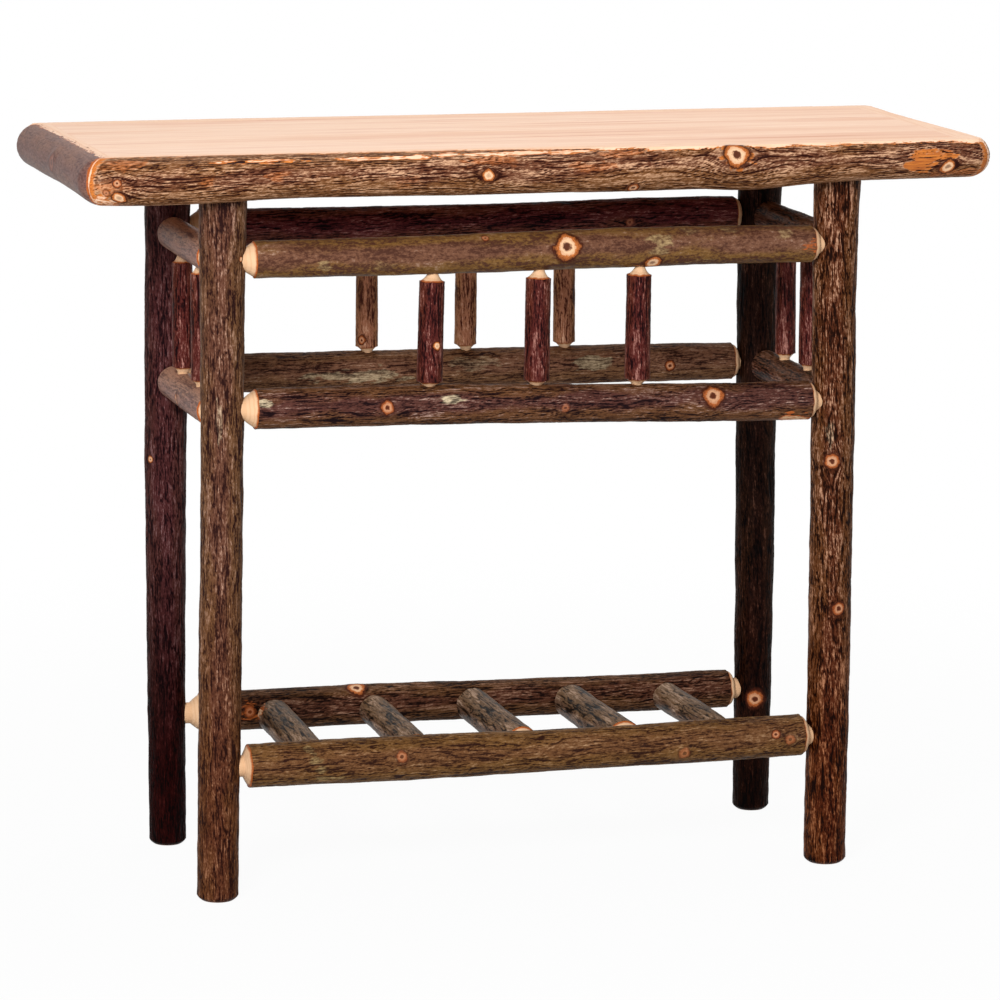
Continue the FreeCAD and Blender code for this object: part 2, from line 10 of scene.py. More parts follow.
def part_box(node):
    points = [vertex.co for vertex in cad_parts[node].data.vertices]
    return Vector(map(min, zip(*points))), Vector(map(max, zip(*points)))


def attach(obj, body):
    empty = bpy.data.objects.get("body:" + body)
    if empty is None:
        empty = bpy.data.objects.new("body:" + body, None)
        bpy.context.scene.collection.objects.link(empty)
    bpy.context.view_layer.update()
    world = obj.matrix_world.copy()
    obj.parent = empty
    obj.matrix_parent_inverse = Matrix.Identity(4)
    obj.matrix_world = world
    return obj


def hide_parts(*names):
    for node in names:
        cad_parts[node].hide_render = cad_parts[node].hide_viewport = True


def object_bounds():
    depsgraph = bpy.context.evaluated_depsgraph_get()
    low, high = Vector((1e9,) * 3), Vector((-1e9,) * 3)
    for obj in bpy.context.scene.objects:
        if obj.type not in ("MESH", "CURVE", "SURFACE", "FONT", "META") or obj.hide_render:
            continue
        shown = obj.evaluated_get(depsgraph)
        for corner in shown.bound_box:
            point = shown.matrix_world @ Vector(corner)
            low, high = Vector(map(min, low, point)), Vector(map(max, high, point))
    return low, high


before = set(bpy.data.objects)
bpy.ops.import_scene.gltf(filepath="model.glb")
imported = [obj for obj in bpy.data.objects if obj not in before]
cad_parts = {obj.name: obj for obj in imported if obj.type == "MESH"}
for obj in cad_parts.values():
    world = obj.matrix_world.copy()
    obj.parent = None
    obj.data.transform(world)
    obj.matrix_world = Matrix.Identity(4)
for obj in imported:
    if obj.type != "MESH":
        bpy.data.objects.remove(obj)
cad_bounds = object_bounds()

MM = 0.001
AXES = dict(zip("xyz", np.eye(3)))
# The side of a pole that angle zero faces, for each direction of a pole.
FRONT = {"x": -AXES["y"], "y": -AXES["x"], "z": -AXES["y"]}

# Camera, from the fit to the photograph, with lengths in metres and angles in degrees.
CAMERA_AZIMUTH = -16.189
CAMERA_ELEVATION = 10.331
CAMERA_ROLL = 0.553
CAMERA_DISTANCE = 6.9603
CAMERA_TARGET = (0.00293, 0.0, 0.48228)
CAMERA_LENS_MM = 187.75
CAMERA_SENSOR_MM = 36.0

# How finely the bark is divided, in millimetres.
BARK_ROW_MM = 3.0
BARK_COLUMN_MM = 1.15
BARK_THICKNESS_MM = 1.7
# How deep a leg's sole and the logs' planed tops count as cut, in millimetres.
SOLE_CUT_MM = 4.0
PLANED_CUT_MM = 5.0

# Each kind of bark: the ridges' width and depth in millimetres, how many widths long they
# are, the shares of long, short and small furrows, and how much the girth wanders in
# millimetres.
BarkKind = namedtuple("BarkKind", "width depth stretch long short fine lumps")
BARK_KINDS = {
    "leg": BarkKind(3.8, 1.1, 11, 0.45, 0.8, 0.5, 1.0),
    "rail": BarkKind(3.0, 1.2, 15, 0.9, 0.5, 0.45, 0.8),
    "smooth_rail": BarkKind(4.2, 0.28, 9, 0.3, 0.8, 0.7, 0.9),
    "side_rail": BarkKind(3.8, 0.45, 13, 0.5, 0.7, 0.6, 0.5),
    "spindle": BarkKind(3.2, 1.0, 13, 0.6, 0.7, 0.4, 0.4),
    "rung": BarkKind(4.4, 0.8, 13, 0.7, 0.7, 0.25, 0.8),
    "edge": BarkKind(2.5, 1.1, 22, 1.1, 0.3, 0.3, 0.0),
    "smooth_edge": BarkKind(4.4, 0.4, 9, 0.3, 0.8, 0.6, 0.0),
}

# Knots of each pole: the place along it in millimetres, the angle round it in degrees, the
# radius and the height of its collar in millimetres and the paleness of its wood. Above
# one the heart is pale too.
KNOTS = {
    "front_upper_rail": [(452, 16, 17, 1.6, 1.0), (571, -47, 11, 0.8, 1.1), (345, 55, 5, 0.4, 0.1)],
    "front_middle_rail": [(213, 3, 9, 0.8, 0.25), (654, 27, 14, 1.2, 0.45), (452, -5, 6, 0.4, 0.0)],
    "leg_front_right": [(550, 20, 10, 1.2, 0.4), (351, -4, 9, 1.0, 0.25)],
    "leg_back_right": [(161, 10, 12, 1.0, 0.35), (620, 190, 9, 1.0, 0.5)],
    "leg_front_left": [(841, -39, 3.6, 0.4, 1.1)],
    "leg_back_left": [(531, 59, 5, 0.3, 0.6), (300, 170, 9, 1.0, 0.3)],
    "front_spindle_1": [(69, -16, 5.5, 0.5, 1.2)],
    "back_spindle_1": [(31, 41, 6, 0.3, 0.3)],
    "front_shelf_rail": [
        (236, 16, 8, 0.8, 0.1), (623, -17, 8, 0.9, 0.0), (751, 19, 6, 0.5, 0.2),
        (771, 2, 7, 0.5, 0.0),
    ],
    "back_shelf_rail": [(259, 66, 13, 1.2, 0.8), (107, 7, 8, 0.4, 0.1), (560, 178, 9, 0.8, 0.3)],
    "back_middle_rail": [(698, -2, 7, 0.6, 0.3)],
    "back_upper_rail": [(638, -10, 6, 0.4, 0.0), (300, 175, 13, 1.2, 0.9)],
    "right_middle_rail": [(90, 30, 8, 0.6, 0.4)],
    "left_middle_rail": [(150, 10, 8, 0.6, 0.4)],
    "front_edge_log": [
        (526, 2, 8.5, 0.9, 1.2), (860, -20, 17, 1.2, 1.0), (1152, 21, 10, 0.8, 1.1),
        (725, 50, 8, 1.6, 0.6), (43, 34, 9, 0.5, 1.15), (29, 20, 4.5, 0.3, 0.1),
        (44, -3, 5.5, 0.5, 0.35),
    ],
    "left_edge_log": [(265, -8, 13, 1.4, 0.0)],
    "right_edge_log": [(300, 5, 13, 1.2, 0.9)],
    "back_edge_log": [(380, 5, 14, 1.2, 0.9), (860, 20, 9, 0.9, 0.5)],
}

# Places scraped to the orange inner bark or the wood, of each pole: the place along it, the
# angle, the half length, the half width and how deep, in millimetres.
SCRAPES = {
    "front_upper_rail": [(787, -2, 9, 11, 0.9), (560, -50, 16, 7, 0.8)],
    "front_middle_rail": [(774, -66, 18, 14, 4.0)],
    "back_shelf_rail": [(107, 7, 16, 14, 0.9)],
    "shelf_rung_1": [(250, -25, 13, 9, 4.0)],
    "front_edge_log": [
        (20, 45, 20, 13, 3.6), (235, -50, 60, 3, 3.6), (395, -53, 70, 3, 3.8),
        (560, -60, 120, 3.5, 4.0), (862, -18, 19, 17, 1.6), (1119, 8, 22, 14, 1.6),
        (1140, -14, 24, 7, 1.2),
    ],
    "right_edge_log": [(300, 5, 40, 12, 1.1)],
    "back_edge_log": [(380, 5, 45, 13, 1.1)],
}

# Stained or mossy places of each pole: the place along it, the angle, the half length, the
# half width in millimetres and the strength.
PATCHES = {
    "front_edge_log": [
        (40, -50, 34, 12, 0.63), (34, 15, 22, 14, 0.56), (161, 0, 9, 6, 0.56),
        (253, -5, 16, 6, 0.56), (420, 20, 24, 7, 0.35), (530, -34, 30, 8, 0.63),
        (668, -12, 30, 7, 0.56), (711, -48, 30, 10, 0.63), (1165, 45, 36, 8, 0.63),
    ],
    "front_upper_rail": [
        (579, 16, 15, 14, 0.95), (130, -14, 8, 6, 0.9), (205, -25, 16, 8, 0.45),
        (622, 60, 12, 6, 0.6), (676, 62, 14, 6, 0.65), (752, 42, 10, 8, 0.6),
        (640, -48, 24, 6, 0.45),
    ],
    "front_shelf_rail": [
        (113, 52, 8, 8, 0.6), (121, 18, 7, 9, 0.7), (129, -8, 7, 7, 0.7), (144, -34, 18, 6, 0.7),
    ],
    "front_middle_rail": [(299, 22, 17, 7, 1.0), (50, 26, 12, 6, 0.8)],
    "back_middle_rail": [(584, 16, 22, 9, 0.9), (267, -12, 60, 9, 0.8), (420, 20, 35, 9, 0.5)],
    "leg_front_left": [(640, 20, 24, 5, 0.45)],
    "leg_front_right": [(585, 25, 16, 6, 0.4)],
}


GRADIENTS = np.array(
    [(a, b, 0) for a in (-1, 1) for b in (-1, 1)]
    + [(a, 0, b) for a in (-1, 1) for b in (-1, 1)]
    + [(0, a, b) for a in (-1, 1) for b in (-1, 1)],
    dtype=np.float32,
)


def gradient_at(corner, seed):
    """The slope at each whole-numbered corner, chosen by a hash of its coordinates."""
    x, y, z = (corner[..., axis] for axis in range(3))
    mixed = x * np.uint32(73856093) ^ y * np.uint32(19349663) ^ z * np.uint32(83492791)
    mixed = (mixed ^ np.uint32(seed * 2654435 + 374761)) * np.uint32(2246822519)
    mixed = (mixed ^ (mixed >> np.uint32(13))) * np.uint32(3266489917)
    return GRADIENTS[(mixed ^ (mixed >> np.uint32(16))) % np.uint32(len(GRADIENTS))]


def noise(points, seed):
    """Smooth noise of about -1 to 1.

    At each corner of a unit cube stands a slope, and the eight are mixed by
    6t5-15t4+10t3 in each direction.
    """
    base = np.floor(points)
    part = (points - base).astype(np.float32)
    cell = base.astype(np.int64).astype(np.uint32)
    blend = part * part * part * (part * (part * 6 - 15) + 10)
    total = np.zeros(points.shape[:-1], np.float32)
    for corner in itertools.product((0, 1), repeat=3):
        slope = gradient_at(cell + np.array(corner, np.uint32), seed)
        away = part - np.array(corner, np.float32)
        near = np.where(corner, blend, 1 - blend)
        total += near[..., 0] * near[..., 1] * near[..., 2] * np.sum(slope * away, axis=-1)
    return total


def fade(value, low, high):
    """Zero below low, one above high and 3t2-2t3 between."""
    t = np.clip((value - low) / (high - low), 0, 1)
    return t * t * (3 - 2 * t)


def smooth_between(t, places, values):
    """A cubic through the values whose slope at each place is that of its two neighbours."""
    places = np.asarray(places, float)
    values = np.asarray(values, float)
    slopes = np.gradient(values, places, axis=0)
    index = np.clip(np.searchsorted(places, t, side="right") - 1, 0, len(places) - 2)
    span = places[index + 1] - places[index]
    u = np.clip((t - places[index]) / span, 0, 1)
    if values.ndim > 1:
        u = u[..., None]
        span = span[..., None]
    start, end = values[index], values[index + 1]
    return (
        (1 + 2 * u) * (1 - u) ** 2 * start
        + u * (1 - u) ** 2 * span * slopes[index]
        + u * u * (3 - 2 * u) * end
        + u * u * (u - 1) * span * slopes[index + 1]
    )


def stretched_noise(local, along, across, seed, shift=0.0):
    """Noise with one scale along the pole and one across it, from a shifted start."""
    return noise(local * np.array([along, across, across]) + shift, seed)


def in_pole(place, angle, radius):
    """Points in a pole's own frame: along its axis, and across it at an angle and radius."""
    return np.stack([place, radius * np.cos(angle), radius * np.sin(angle)], -1)


def turn_from(angle, degrees):
    """The turn from a place round the pole, within half a turn either way."""
    return (angle - math.radians(degrees) + math.pi) % (2 * math.pi) - math.pi


# How much longer than wide the bark's flow round a knot is.
FLOW_STRETCH = 1.5
# Where a knot gives way to the bark, in shares of its radius.
KNOT_EDGE = (0.95, 1.2)
# How many ridge widths lie between two long furrows.
FURROW_SPACING = 1.7


def flow_round(node, place, angle, radius):
    """The angles, bent so that lines along the pole part round each knot.

    As in a flow round a cylinder, a distance d across the pole becomes d(1-R2/r2).
    """
    bent = angle.copy()
    for at, degrees, size, _, _ in KNOTS.get(node, ()):
        turn = turn_from(angle, degrees)
        away = np.hypot((place - at) / FLOW_STRETCH, turn * radius)
        bent = bent - turn * size**2 / np.maximum(away, size * 1.02) ** 2
    return bent


def bark_relief(place, angle, radius, kind, seed):
    """Height of the bark from -1 in a furrow to 0 on a ridge.

    Long furrows follow the zeros of a sine round the pole whose phase wanders with a
    noise. Shorter ones, which part and join the ridges, follow the zeros of a noise
    stretched along the pole.
    """
    local = in_pole(place, angle, radius)
    ridges = round(float(2 * math.pi * radius.mean() / kind.width / FURROW_SPACING))
    drift = stretched_noise(local, 0.009, 0.05, seed + 1)
    drift = drift + 0.5 * stretched_noise(local, 0.03, 0.12, seed + 1, 4.2)
    line = np.abs(np.sin(angle * ridges / 2 + 5.0 * drift))
    place_at = local * np.array([1 / (kind.width * kind.stretch), 1 / kind.width, 1 / kind.width])
    bend = stretched_noise(place_at, 1.5, 0.5, seed + 2, 11.3)
    place_at = place_at + 0.35 * bend[..., None]
    lens = np.abs(noise(place_at * 0.85, seed + 3))
    small = np.abs(stretched_noise(place_at, 2.2, 2.1, seed + 4, 5.1))
    keep = fade(stretched_noise(local, 0.02, 0.08, seed + 5, 8.0), -0.4, 0.2)
    rough = fade(stretched_noise(local, 0.025, 0.06, seed + 9, 1.9), -0.35, 0.3)
    long_furrow = kind.long * (1 - fade(line, 0.0, 0.42)) * (0.35 + 0.65 * keep)
    short_furrow = kind.short * (1 - fade(lens, 0.0, 0.12)) * (0.3 + 0.7 * rough)
    narrow = (1 - fade(small, 0.0, 0.2)) * (0.4 + 0.6 * keep)
    crack = 1 - fade(np.abs(stretched_noise(local, 0.1, 0.05, seed + 6)), 0.0, 0.03)
    grit = stretched_noise(local, 0.25, 0.9, seed + 7)
    plate = stretched_noise(local, 0.012, 0.16, seed + 8, 2.7)
    deep = 1 - (1 - 0.85 * long_furrow) * (1 - short_furrow)
    height = -deep - kind.fine * narrow * (1 - deep) - 0.12 * crack
    return np.clip(height + 0.16 * grit + 0.2 * plate - 0.08, -1.1, 0)


def uneven(local, seed):
    """How much a pole bulges: a broad noise and half as much of a finer one."""
    broad = stretched_noise(local, 0.018, 0.042, seed + 7)
    return broad + 0.5 * stretched_noise(local, 0.06, 0.09, seed + 8)


def with_ends(values):
    """The values of a grid in one list, and the means of its first and last rows."""
    flat = values.reshape(-1, *values.shape[2:])
    return np.concatenate([flat, values[0].mean(0)[None], values[-1].mean(0)[None]])


def grid_mesh(name, points):
    """A mesh over rows and columns of points, closed round its columns and at both ends."""
    rows, columns = points.shape[:2]
    corner = np.arange(rows * columns).reshape(rows, columns)
    right = np.roll(corner, -1, axis=1)
    quads = np.stack([corner[:-1], corner[1:], right[1:], right[:-1]], -1).reshape(-1, 4)
    vertices = with_ends(points)
    start_cap = np.stack([np.full(columns, corner.size), corner[0], right[0]], -1)
    end_cap = np.stack([np.full(columns, corner.size + 1), right[-1], corner[-1]], -1)
    triangles = np.concatenate([start_cap, end_cap])
    mesh = bpy.data.meshes.new(name)
    mesh.vertices.add(len(vertices))
    mesh.vertices.foreach_set("co", (vertices * MM).astype(np.float32).ravel())
    loops = np.concatenate([quads.ravel(), triangles.ravel()])
    mesh.loops.add(len(loops))
    mesh.loops.foreach_set("vertex_index", loops.astype(np.int32))
    mesh.polygons.add(len(quads) + len(triangles))
    starts = np.concatenate(
        [np.arange(len(quads)) * 4, len(quads) * 4 + np.arange(len(triangles)) * 3]
    )
    mesh.polygons.foreach_set("loop_start", starts.astype(np.int32))
    mesh.update(calc_edges=True)
    mesh.validate()
    mesh.shade_smooth()
    return mesh


def store(mesh, name, values):
    """Keep a number or a vector for each point, with the two end points last."""
    kind, field = ("FLOAT_VECTOR", "vector") if values.ndim == 3 else ("FLOAT", "value")
    layer = mesh.attributes.new(name, kind, "POINT")
    layer.data.foreach_set(field, with_ends(values).astype(np.float32).ravel())


def add_piece(name, mesh, material, node):
    """The finished piece, standing for its CAD node and riding with the table."""
    piece = bpy.data.objects.new(name, mesh)
    bpy.context.scene.collection.objects.link(piece)
    mesh.materials.append(material)
    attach(piece, "root")
    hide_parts(node)


def add_bark_piece(name, node, points, wood_at, marks, material):
    """A pole or log, with its points' places in the wood and its marks kept on the mesh."""
    mesh = grid_mesh(node + "_bark", points)
    store(mesh, "wood_at", wood_at * MM)
    for mark, values in marks.items():
        store(mesh, mark, values)
    add_piece(name, mesh, material, node)


Ring = namedtuple("Ring", "place centre radius")
# The fewest corners of a ring, how far off its place they lie, the least gap between two
# rings and how deep the corners of a pole's tip lie.
RING_CORNERS = 12
RING_THICKNESS_MM = 0.12
RING_STEP_MM = 0.5
TIP_DEPTH_MM = 1.5


def rings_of(node, along):
    """Start, direction and rings of a many-sided pole, read from its CAD solid.

    A ring is a place along the axis that at least twelve corners share. The radius is
    that of the corners at its rim.
    """
    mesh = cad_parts[node].data
    corners = np.empty(len(mesh.vertices) * 3, np.float32)
    mesh.vertices.foreach_get("co", corners)
    corners = np.unique(np.round(corners.reshape(-1, 3).astype(float) / MM, 2), axis=0)
    axis = AXES[along]
    if node.startswith("leg_"):
        start = np.zeros(3)
    else:
        reach = corners @ axis
        start = corners[reach < reach.min() + TIP_DEPTH_MM].mean(0)
        end = corners[reach > reach.max() - TIP_DEPTH_MM].mean(0)
        axis = (end - start) / np.linalg.norm(end - start)
    place = (corners - start) @ axis
    rings = []
    for level in np.unique(np.round(place, 1)):
        near = corners[np.abs(place - level) < RING_THICKNESS_MM]
        if len(near) < RING_CORNERS or (rings and level - rings[-1].place < RING_STEP_MM):
            continue
        centre = near.mean(0)
        offset = near - centre
        offset = offset - np.outer(offset @ axis, axis)
        spread = np.linalg.norm(offset, axis=1)
        rings.append(Ring(level, centre, spread[spread > 0.9 * spread.max()].mean()))
    return start, axis, rings


def knots_on(node, place, angle, radius):
    """Distance from the nearest knot as a share of its radius, its collar and its paleness.

    A knot's outline lies between a circle and a diamond that points along the pole, and
    its collar rises as a bell round that outline.
    """
    nearest = np.full(place.shape, 9.0)
    collar = np.zeros(place.shape)
    pale = np.zeros(place.shape)
    for at, degrees, size, height, tone in KNOTS.get(node, ()):
        ahead = (place - at) / size
        aside = turn_from(angle, degrees) * radius / size
        ragged = noise(np.stack([ahead + at, aside, 0 * aside], -1) * 1.1, 5)
        circle = np.hypot(ahead, aside)
        diamond = 0.8 * (np.abs(ahead) + np.abs(aside))
        pointed = 0.08 + 0.37 * float(fade(size, 12.0, 16.0))
        spread = circle + pointed * (diamond - circle) * fade(circle, 0.55, 0.95)
        spread = spread * (1 + 0.24 * ragged)
        pale = np.where(spread < nearest, tone, pale)
        nearest = np.minimum(nearest, spread)
        collar += height * np.exp(-(((spread - 0.9) / 0.75) ** 2))
    return nearest, collar, pale


def patches_on(patches, node, place, angle, radius, local, seed):
    """Strength of the patches at each point, ragged with noise."""
    strength = np.zeros(place.shape)
    ragged = stretched_noise(local, 0.05, 0.13, seed + 9)
    ragged = ragged + 0.5 * stretched_noise(local, 0.12, 0.5, seed + 9)
    for at, degrees, half_length, half_width, amount in patches.get(node, ()):
        aside = turn_from(angle, degrees) * radius / half_width
        spread = np.hypot((place - at) / half_length, aside)
        strength = np.maximum(strength, amount * fade(1.25 - spread + 0.9 * ragged, 0.0, 0.5))
    return strength


def bark_on(node, place, angle, girth, kind, seed):
    """A pole's bark: its relief, how far it bulges, how deep it is scraped, and its marks."""
    local = in_pole(place, angle, girth)
    relief = bark_relief(place, flow_round(node, place, angle, girth), girth, kind, seed)
    nearest, collar, pale = knots_on(node, place, angle, girth)
    relief = relief * fade(nearest, *KNOT_EDGE)
    patch = patches_on(PATCHES, node, place, angle, girth, local, seed)
    scraped = patches_on(SCRAPES, node, place, angle, girth, local, seed)
    scraped = np.maximum(scraped * (1 + 1.2 * relief), 0)
    relief = relief * (1 - 0.7 * (scraped > 0.4)) - 0.3 * fade(scraped, 0.2, 0.8)
    bulge = kind.lumps * uneven(local, seed) + collar
    marks = {"relief": relief, "knot": nearest, "knot_pale": pale, "patch": patch}
    return relief, bulge, scraped, marks


def grid_of(rows, girths):
    """The place along the pole and the angle round it of each point of its grid."""
    columns = int(2 * math.pi * max(girths) / BARK_COLUMN_MM)
    angles = np.linspace(0, 2 * math.pi, columns, endpoint=False)
    return np.meshgrid(rows, angles, indexing="ij")


def outward(along, axis, angle):
    """Directions away from the axis, with angle zero towards the pole's front."""
    front = FRONT[along] - axis * (FRONT[along] @ axis)
    front /= np.linalg.norm(front)
    side = np.cross(front, axis)
    return np.cos(angle)[..., None] * front + np.sin(angle)[..., None] * side


# Poles whose bark runs further at their start and end than on the others, or less far
# where below zero, in millimetres.
LONGER_BARK_MM = {
    "front_shelf_rail": (7.0, 0.0),
    "front_upper_rail": (1.5, 0.0),
    "shelf_rung_1": (0.0, -9.0),
    "shelf_rung_3": (-7.0, 0.0),
}
# A pole's rows: how many make a shoulder or a leg's chamfer, where the first two of the
# bark lie and where its even rows begin, in millimetres.
SHOULDER_ROWS = 11
CHAMFER_ROWS = 7
EDGE_ROWS_MM = np.array([0.25, 0.6])
EVEN_ROWS_MM = 1.2
# How far the bark's edge wobbles along the pole, and how soon that dies out beside it.
WOBBLE_MM = 1.1
WOBBLE_REACH_MM = 9
# How far the skin of the bark stands off the solid's mean girth, in millimetres.
POLE_SKIN_MM = 0.25
LEG_SKIN_MM = 0.4


def add_pole(node, along, kind_name, material, seed, domes):
    """A pole with bark between two sharpened bare ends.

    The radius follows the CAD rings. In a shoulder it rises from the tenon's to the
    wood's as (1-(1-x)^p)^(1/p), which is a dome for p above one and a bell for p below
    it, and in the bark the relief is taken off it. Angles are counted from the side
    that faces the front, or the left on a pole that runs front to back.
    """
    kind = BARK_KINDS[kind_name]
    start, axis, rings = rings_of(node, along)
    tip_0, neck_0, bark_0 = (ring.place for ring in rings[:3])
    bark_1, neck_1, tip_1 = (ring.place for ring in rings[-3:])
    longer_0, longer_1 = LONGER_BARK_MM.get(node, (0.0, 0.0))
    bark_0 -= longer_0
    bark_1 += longer_1
    bark_rings = rings[2:-2]
    ring_places = [ring.place for ring in bark_rings]
    offsets = [ring.centre - start - axis * ring.place for ring in bark_rings]
    girths = [ring.radius for ring in bark_rings]
    tenon = rings[0].radius

    row_count = int((bark_1 - bark_0) / BARK_ROW_MM) + 2
    bark_rows = np.linspace(bark_0 + EVEN_ROWS_MM, bark_1 - EVEN_ROWS_MM, row_count)
    lead = np.linspace(0, 1, SHOULDER_ROWS) ** 1.4
    lead_in = neck_0 + (bark_0 - neck_0) * lead
    lead_out = neck_1 - (neck_1 - bark_1) * lead
    rows = np.concatenate(
        [[tip_0, neck_0 - 1], lead_in, bark_0 + EDGE_ROWS_MM, bark_rows]
        + [bark_1 - EDGE_ROWS_MM[::-1], lead_out[::-1], [neck_1 + 1, tip_1]]
    )
    place, angle = grid_of(rows, girths)
    wobble = WOBBLE_MM * noise(in_pole(0 * place, angle, 1.0) * 2.3, seed + 6)
    from_ends = (np.stack([place - bark_0, place - bark_1]) / WOBBLE_REACH_MM) ** 2
    near_edge = np.exp(-from_ends).sum(axis=0) * ((place > neck_0) & (place < neck_1))
    place = place + wobble * near_edge

    rim_0 = np.clip((rows - neck_0) / (bark_0 - neck_0), 0, 1)[:, None]
    rim_1 = np.clip((neck_1 - rows) / (neck_1 - bark_1), 0, 1)[:, None]
    rim = np.minimum(rim_0, rim_1)
    inside = np.clip(rows, bark_0, bark_1)
    girth = smooth_between(inside, ring_places, girths)[:, None] + 0 * angle
    bend = smooth_between(inside, ring_places, offsets)
    centre = start + rows[:, None] * axis + bend * rim
    centre = centre[:, None, :] + (place - rows[:, None])[..., None] * axis

    relief, bulge, scraped, marks = bark_on(node, place, angle, girth, kind, seed)
    wood = girth - BARK_THICKNESS_MM
    dome = np.where(rim_0 < rim_1, domes[0], domes[1])
    shoulder = tenon + (wood - tenon) * (1 - (1 - rim) ** dome) ** (1 / dome)
    from_edge = np.minimum(rows - bark_0, bark_1 - rows)[:, None]
    barked = fade(from_edge, -0.05, 0.6)
    skin = girth + POLE_SKIN_MM + bulge + kind.depth * relief * fade(from_edge, 0.0, 3.0)
    radius = shoulder * (1 - barked) + skin * barked
    cut = (BARK_THICKNESS_MM + 0.55 * np.maximum(-from_edge, 0)) * (1 - barked)
    marks["cut"] = np.maximum(cut, scraped)

    points = centre + radius[..., None] * outward(along, axis, angle)
    wood_at = in_pole(place, angle, radius)
    add_bark_piece(node + "_pole", node, points, wood_at, marks, material)


def add_leg(node, material, seed):
    """A leg from its chamfered sole to the boards, with bark all round.

    The radius follows the CAD rings, with the relief taken off it. In the chamfer it
    rises from the sole's as 1-(1-x)^1.6. The tenon in the boards ends the grid.
    """
    kind = BARK_KINDS["leg"]
    _, axis, rings = rings_of(node, "z")
    sole, foot = rings[:2]
    top, tip = rings[-2:]
    levels = np.array([ring.place for ring in rings[1:-1]])
    centres = np.array([ring.centre * [1, 1, 0] for ring in rings[1:-1]])
    girths = [ring.radius for ring in rings[1:-1]]
    row_count = int((top.place - foot.place) / BARK_ROW_MM)
    body = np.linspace(foot.place + 0.8, top.place - 0.1, row_count)
    chamfer_rows = np.linspace(0, foot.place, CHAMFER_ROWS)
    rows = np.concatenate([chamfer_rows, [foot.place + 0.3], body, [top.place, tip.place]])
    place, angle = grid_of(rows, girths)
    inside = np.clip(rows, foot.place, top.place)
    girth = smooth_between(inside, levels, girths)[:, None] + 0 * angle
    centre = smooth_between(inside, levels, centres) + rows[:, None] * axis

    relief, bulge, _, marks = bark_on(node, place, angle, girth, kind, seed)
    rise = np.clip(rows / foot.place, 0, 1)[:, None]
    chamfer = sole.radius + (foot.radius - sole.radius) * (1 - (1 - rise) ** 1.6)
    barked = fade(rows - foot.place, -0.2, 0.4)[:, None]
    skin = girth + LEG_SKIN_MM + bulge + kind.depth * relief
    radius = chamfer * (1 - barked) + skin * barked
    radius[-1] = tip.radius
    marks["cut"] = np.where(place < 0.4, SOLE_CUT_MM, 0.0)

    points = centre[:, None, :] + radius[..., None] * outward("z", axis, angle)
    wood_at = in_pole(place, angle, radius)
    add_bark_piece(node + "_pole", node, points, wood_at, marks, material)


# Logs round the top. Each list runs anticlockwise as seen from above: the place as a
# share of the log's length, the log's height and how far in the planed face begins, both
# in millimetres.
EDGE_LOGS = {
    "front_edge_log": [
        (0.0, 60.5, 38.0), (0.043, 61.8, 39.0), (0.12, 61.0, 38.0), (0.2, 57.5, 37.0),
        (0.3, 57.3, 34.0), (0.4, 58.7, 31.0), (0.5, 58.5, 27.0), (0.6, 59.6, 15.0),
        (0.67, 59.4, 9.0), (0.75, 62.0, 10.0), (0.8, 56.4, 13.0), (0.87, 52.6, 15.0),
        (0.93, 52.0, 14.0), (1.0, 51.5, 12.0),
    ],
    "right_edge_log": [
        (0.0, 51.5, 12.0), (0.25, 55.0, 14.0), (0.5, 59.0, 18.0), (0.75, 58.8, 20.0),
        (1.0, 57.5, 18.0),
    ],
    "back_edge_log": [
        (0.0, 57.5, 18.0), (0.25, 60.0, 17.0), (0.5, 58.0, 20.0), (0.75, 58.5, 16.0),
        (1.0, 57.5, 18.0),
    ],
    "left_edge_log": [
        (0.0, 57.5, 34.0), (0.25, 57.5, 36.0), (0.5, 56.3, 37.0), (0.75, 56.6, 39.0),
        (1.0, 60.5, 39.0),
    ],
}
# For each log the directions along it and inwards, and the corner of the top where it
# starts, as the signs of X and Y.
EDGE_LOG_FRAMES = {
    "front_edge_log": ((1, 0), (0, 1), (-1, -1)),
    "right_edge_log": ((0, 1), (-1, 0), (1, -1)),
    "back_edge_log": ((-1, 0), (0, -1), (1, 1)),
    "left_edge_log": ((0, -1), (1, 0), (-1, 1)),
}
# How far from its two mitres each log is sanded round the corners, in millimetres, and
# the share of that which is sanded to the pale wood.
SANDED_ENDS = {
    "front_edge_log": ((15.0, 0.14), (20.0, 0.0)),
    "right_edge_log": ((15.0, 0.6), (14.0, 0.3)),
    "back_edge_log": ((14.0, 0.3), (14.0, 0.3)),
    "left_edge_log": ((14.0, 0.3), (8.0, 0.0)),
}
EDGE_WIDTH_MM = 44.35
CORNER_RADIUS_MM = 33.0
EDGE_COLUMNS = 170
# How quickly the cut deepens over the planed border of each kind of log.
BORDER_STEEPNESS = {"edge": 18.0, "smooth_edge": 40.0}


